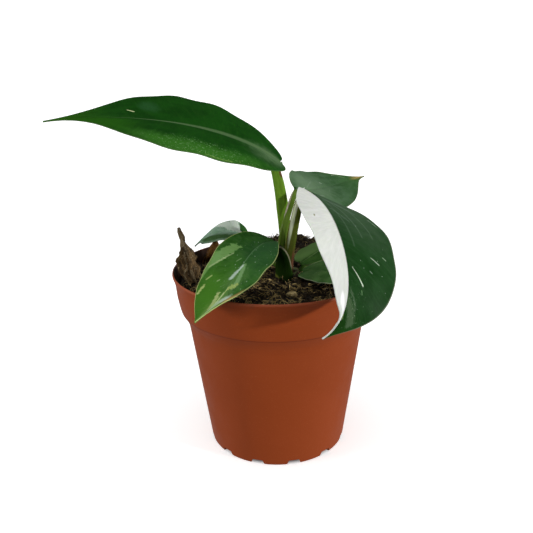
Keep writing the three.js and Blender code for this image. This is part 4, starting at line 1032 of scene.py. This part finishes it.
        fold_left=(8, 7, 8), fold_right=(9, 8, 8), curl=(-8, -8), wave=0.2, grid=(100, 20),
        look=dict(
            dark=(0.045, 0.12, 0.028), light=(0.075, 0.16, 0.045), streak=(0.06, 0.13, 0.04),
            tip=(0.035, 0.095, 0.02), rib=(0.12, 0.2, 0.09), rib_width=0.04, rib_strength=0.5,
            margin=(0.4, 0.45, 0.3), margin_strength=0.8, under=(0.05, 0.13, 0.03), under_strength=0.8,
            gloss=0.36, patches=[], strokes=[],
            freckles=[((0.5, 0.0), (0.4, 0.8), 1.6, 0.2, 0.3, (0.2, 0.3, 0.15), 0.6)])),
}

for name, leaf in LEAVES.items():
    blade = shell(f"blade_{name}", *blade_rows(leaf, *leaf["grid"]))
    length = along_curve(leaf["mid"], np.zeros(1))[2]
    blade_size = (float(length), sum(leaf["half"]) / 2)
    solids = [f"leaf_{name}"] if name != "right" else ["leaf_right_green_half", "leaf_right_white_half"]
    skin = leaf_finish(f"leaf_skin_{name}", leaf["look"], blade_size)
    hand_over(blade, skin, leaf["slot"], *solids, sharp=75)

# Dried leaf and dead sheath.
# Two dead pieces left standing at the left of the pot: an old leaf, shrunk and crumpled to brown paper, and
# the stiff curled sheath that once wrapped a young leaf.

CRUMPLE_SEED = 28
DRIED_LEAF = dict(
    mid=[(-47, -7, 100.3), (-50, -1, 107), (-51, 7, 116), (-56, 10, 128.5)],
    side=[(-0.9, 0.3, 0.1), (-0.9, 0.3, 0), (-0.8, 0.5, 0)],
    half=(7.5, 8.5), widest=0.4, lobe=0, tip=0.42, belly=0.3,
    fold_left=(5, 25, 50), fold_right=(10, 20, 50), curl=(30, 35), wave=1.1)
DEAD_SHEATH = dict(
    mid=[(-44, 30, 99), (-42, 31, 105), (-39, 32, 110), (-35.5, 32, 114)],
    side=[(-0.7, -0.4, 0.5), (-0.7, -0.4, 0.5), (-0.7, -0.4, 0.5)],
    half=(4, 4.5), widest=0.55, lobe=0.2, tip=0.04, belly=0.85,
    fold_left=(10, 10, 10), fold_right=(10, 10, 10), curl=(60, 70), wave=0.2)


def dead_finish(name, dark, light, fleck, fleck_share):
    """Dry brown tissue with fibres along it, dark stains and pale flecks."""
    material, tree, shader, place = new_finish(name, 0.85, 0.25)
    along, across, _ = surface_of(tree)
    strands = grain(tree, stretched(tree, along, across, 4.0, 20.0), 1, 4, 0.65)
    tone = blend(tree, step(tree, strands, 0.36, 0.64), dark, light)
    tone = blend(tree, step(tree, grain(tree, place, 330, 3, 0.6), 0.5, 0.66, 0, 0.7), tone, dark)
    flecks = step(tree, grain(tree, place, 900, 2), 0.62, 0.7, 0, fleck_share)
    tone = blend(tree, flecks, tone, fleck)
    relief = maths(tree, "ADD", strands, grain(tree, place, 700, 4, 0.7))
    colour_with(tree, shader, tone, None, relief, 0.0007)
    return material


noise.seed_set(CRUMPLE_SEED)
dried = shell("dried_blade", *blade_rows(DRIED_LEAF, 90, 22, veins=7, crumple=1.1, ragged=0.3,
                                         thick=(0.35, 0.2)))
paper = dead_finish("dry_leaf_paper", (0.03, 0.016, 0.006), (0.26, 0.16, 0.062), (0.5, 0.4, 0.24), 0.6)
hand_over(dried, paper, "dried_leaf", "dried_leaf", sharp=180)

# Each torn fibre is its path, from the leaf down into the soil, and its width.
TORN_FIBRES = [
    ([(-56.4, 9.8, 128.5), (-54.6, 7, 121), (-50.5, 3, 115), (-47.6, -2, 108)], 1.5),
    ([(-55.6, 9, 127), (-52.8, 6, 119.5), (-49.2, 1.5, 112.5), (-45.2, -4, 105)], 1.3),
    ([(-55.8, 9.4, 126), (-54.6, 7, 119), (-52, 2, 111), (-50.2, -4, 105.5)], 1.4),
    ([(-55, 9, 125), (-51.6, 5, 117), (-47.6, 0, 109.5), (-44.4, -6, 103.5)], 1.0),
    ([(-48.5, -5, 107), (-46.5, -8, 104), (-45.4, -9, 101), (-44, -10, 98.8)], 1.5),
    ([(-51, -4, 108), (-53, -5, 105), (-52.4, -7, 102), (-49, -8, 100.5)], 1.0),
    ([(-47, -4, 109), (-43.5, -4, 107), (-42, -5, 104), (-43, -7, 101)], 1.1),
]
torn_skin = dead_finish("dry_fibre", (0.06, 0.038, 0.017), (0.34, 0.25, 0.13), (0.5, 0.42, 0.26), 0.5)
for number, (path, width) in enumerate(TORN_FIBRES):
    widths = (width, width * 1.3, width, 0.4)
    rows, along, across, under = stalk_rows(path, (0.9, -0.3, 0), widths, (0.5, 0.3), 40, 16)
    for point in rows[1:-1].reshape(-1, 3):
        point += 0.55 * np.array(noise.noise_vector(Vector(point) / 2.6))
    torn_fibre = shell(f"torn_fibre_{number}", rows, along, across, under)
    hand_over(torn_fibre, torn_skin, "dried_leaf", sharp=180)

sheath = shell("curled_sheath", *blade_rows(DEAD_SHEATH, 60, 18, veins=0.5, crumple=0.25, ragged=0.1,
                                            thick=(0.35, 0.25)))
husk = dead_finish("dry_sheath", (0.02, 0.008, 0.001), (0.2, 0.085, 0.012), (0.25, 0.13, 0.04), 0.2)
hand_over(sheath, husk, "dead_sheath", "dead_sheath", sharp=180)

# Studio.
# A white sweep that fades into a white dome, a compact soft light low at the right, a weaker one low at the
# left, a broad one overhead, and the camera where the photograph was taken from, a little above the rim.

SWEEP_RADIUS = 6.0
CARD_SIDES = 64
FLOOR_GLOW = 0.5
DOME_GLOW = 1.0
UNDER_POT = (0.0355, 0.0402)
SKY = 0.4
LIGHTS = {"right": dict(azimuth=64, height=5, strength=2.85, width=4),
          "left": dict(azimuth=-74, height=9, strength=1.85, width=22),
          "overhead": dict(azimuth=10, height=78, strength=0.9, width=60)}
CAMERA_AT = (0, -0.39056, 0.24025)
CAMERA_TURN = (71.19, 1.082, 0.363)
LENS = 48
SENSOR = 36


def white_card(name, rows, glow):
    """A card of the sweep that the camera sees and that throws no light of its own on the plant. Its colour
    and
    glow are painted dark under the pot: painted shade where no light reaches it."""
    form = bmesh.new()
    points = [[form.verts.new(point) for point in row] for row in turned(rows, CARD_SIDES)]
    for low, high in zip(points, points[1:]):
        for k in range(CARD_SIDES):
            after = (k + 1) % CARD_SIDES
            form.faces.new([low[k], low[after], high[after], high[k]])
    form.faces.new(points[-1])
    card = as_piece(name, form)
    paper, tree, shader, place = new_finish(f"{name}_paper", 1.0, 0.0)
    flat = vectors(tree, "MULTIPLY", {0: place, 1: (1, 1, 0)})
    # Painted shade: under the pot the card is dark and does not glow.
    beside_pot = step(tree, vectors(tree, "LENGTH", {0: flat}, 1), *UNDER_POT)
    colour_with(tree, shader, blend(tree, beside_pot, (0.1, 0.095, 0.09), (0.9, 0.9, 0.9)))
    shader.inputs["Emission Color"].default_value = (1, 1, 1, 1)
    tree.links.new(maths(tree, "MULTIPLY", beside_pot, glow), shader.inputs["Emission Strength"])
    card.data.materials.append(paper)
    card.visible_diffuse = False
    card.visible_glossy = False
    card.visible_transmission = False
    card.visible_shadow = False


white_card("floor", [(SWEEP_RADIUS, 0), (SWEEP_RADIUS / 2, 0)], FLOOR_GLOW)
lifts = np.radians(np.linspace(0, 86, 20))
dome = [(SWEEP_RADIUS * math.cos(lift), SWEEP_RADIUS * math.sin(lift)) for lift in lifts]
white_card("dome", dome, DOME_GLOW)

world = bpy.data.worlds.new("studio")
world.use_nodes = True
world.node_tree.nodes["Background"].inputs["Color"].default_value = (1, 1, 1, 1)
world.node_tree.nodes["Background"].inputs["Strength"].default_value = SKY
bpy.context.scene.world = world

for name, light in LIGHTS.items():
    lamp = bpy.data.lights.new(name, "SUN")
    lamp.energy = light["strength"]
    lamp.angle = math.radians(light["width"])
    lamp_object = bpy.data.objects.new(name, lamp)
    bpy.context.collection.objects.link(lamp_object)
    flat, up = math.radians(light["azimuth"]), math.radians(light["height"])
    source = Vector((math.sin(flat) * math.cos(up), -math.cos(flat) * math.cos(up), math.sin(up)))
    lamp_object.rotation_euler = source.to_track_quat("Z", "Y").to_euler()

camera_data = bpy.data.cameras.new("portrait")
camera_data.lens = LENS
camera_data.sensor_width = SENSOR
camera_data.clip_start = 0.01
camera = bpy.data.objects.new("portrait", camera_data)
bpy.context.collection.objects.link(camera)
camera.location = CAMERA_AT
camera.rotation_euler = [math.radians(turn) for turn in CAMERA_TURN]
bpy.context.scene.camera = camera
bpy.context.scene.view_settings.view_transform = "Standard"
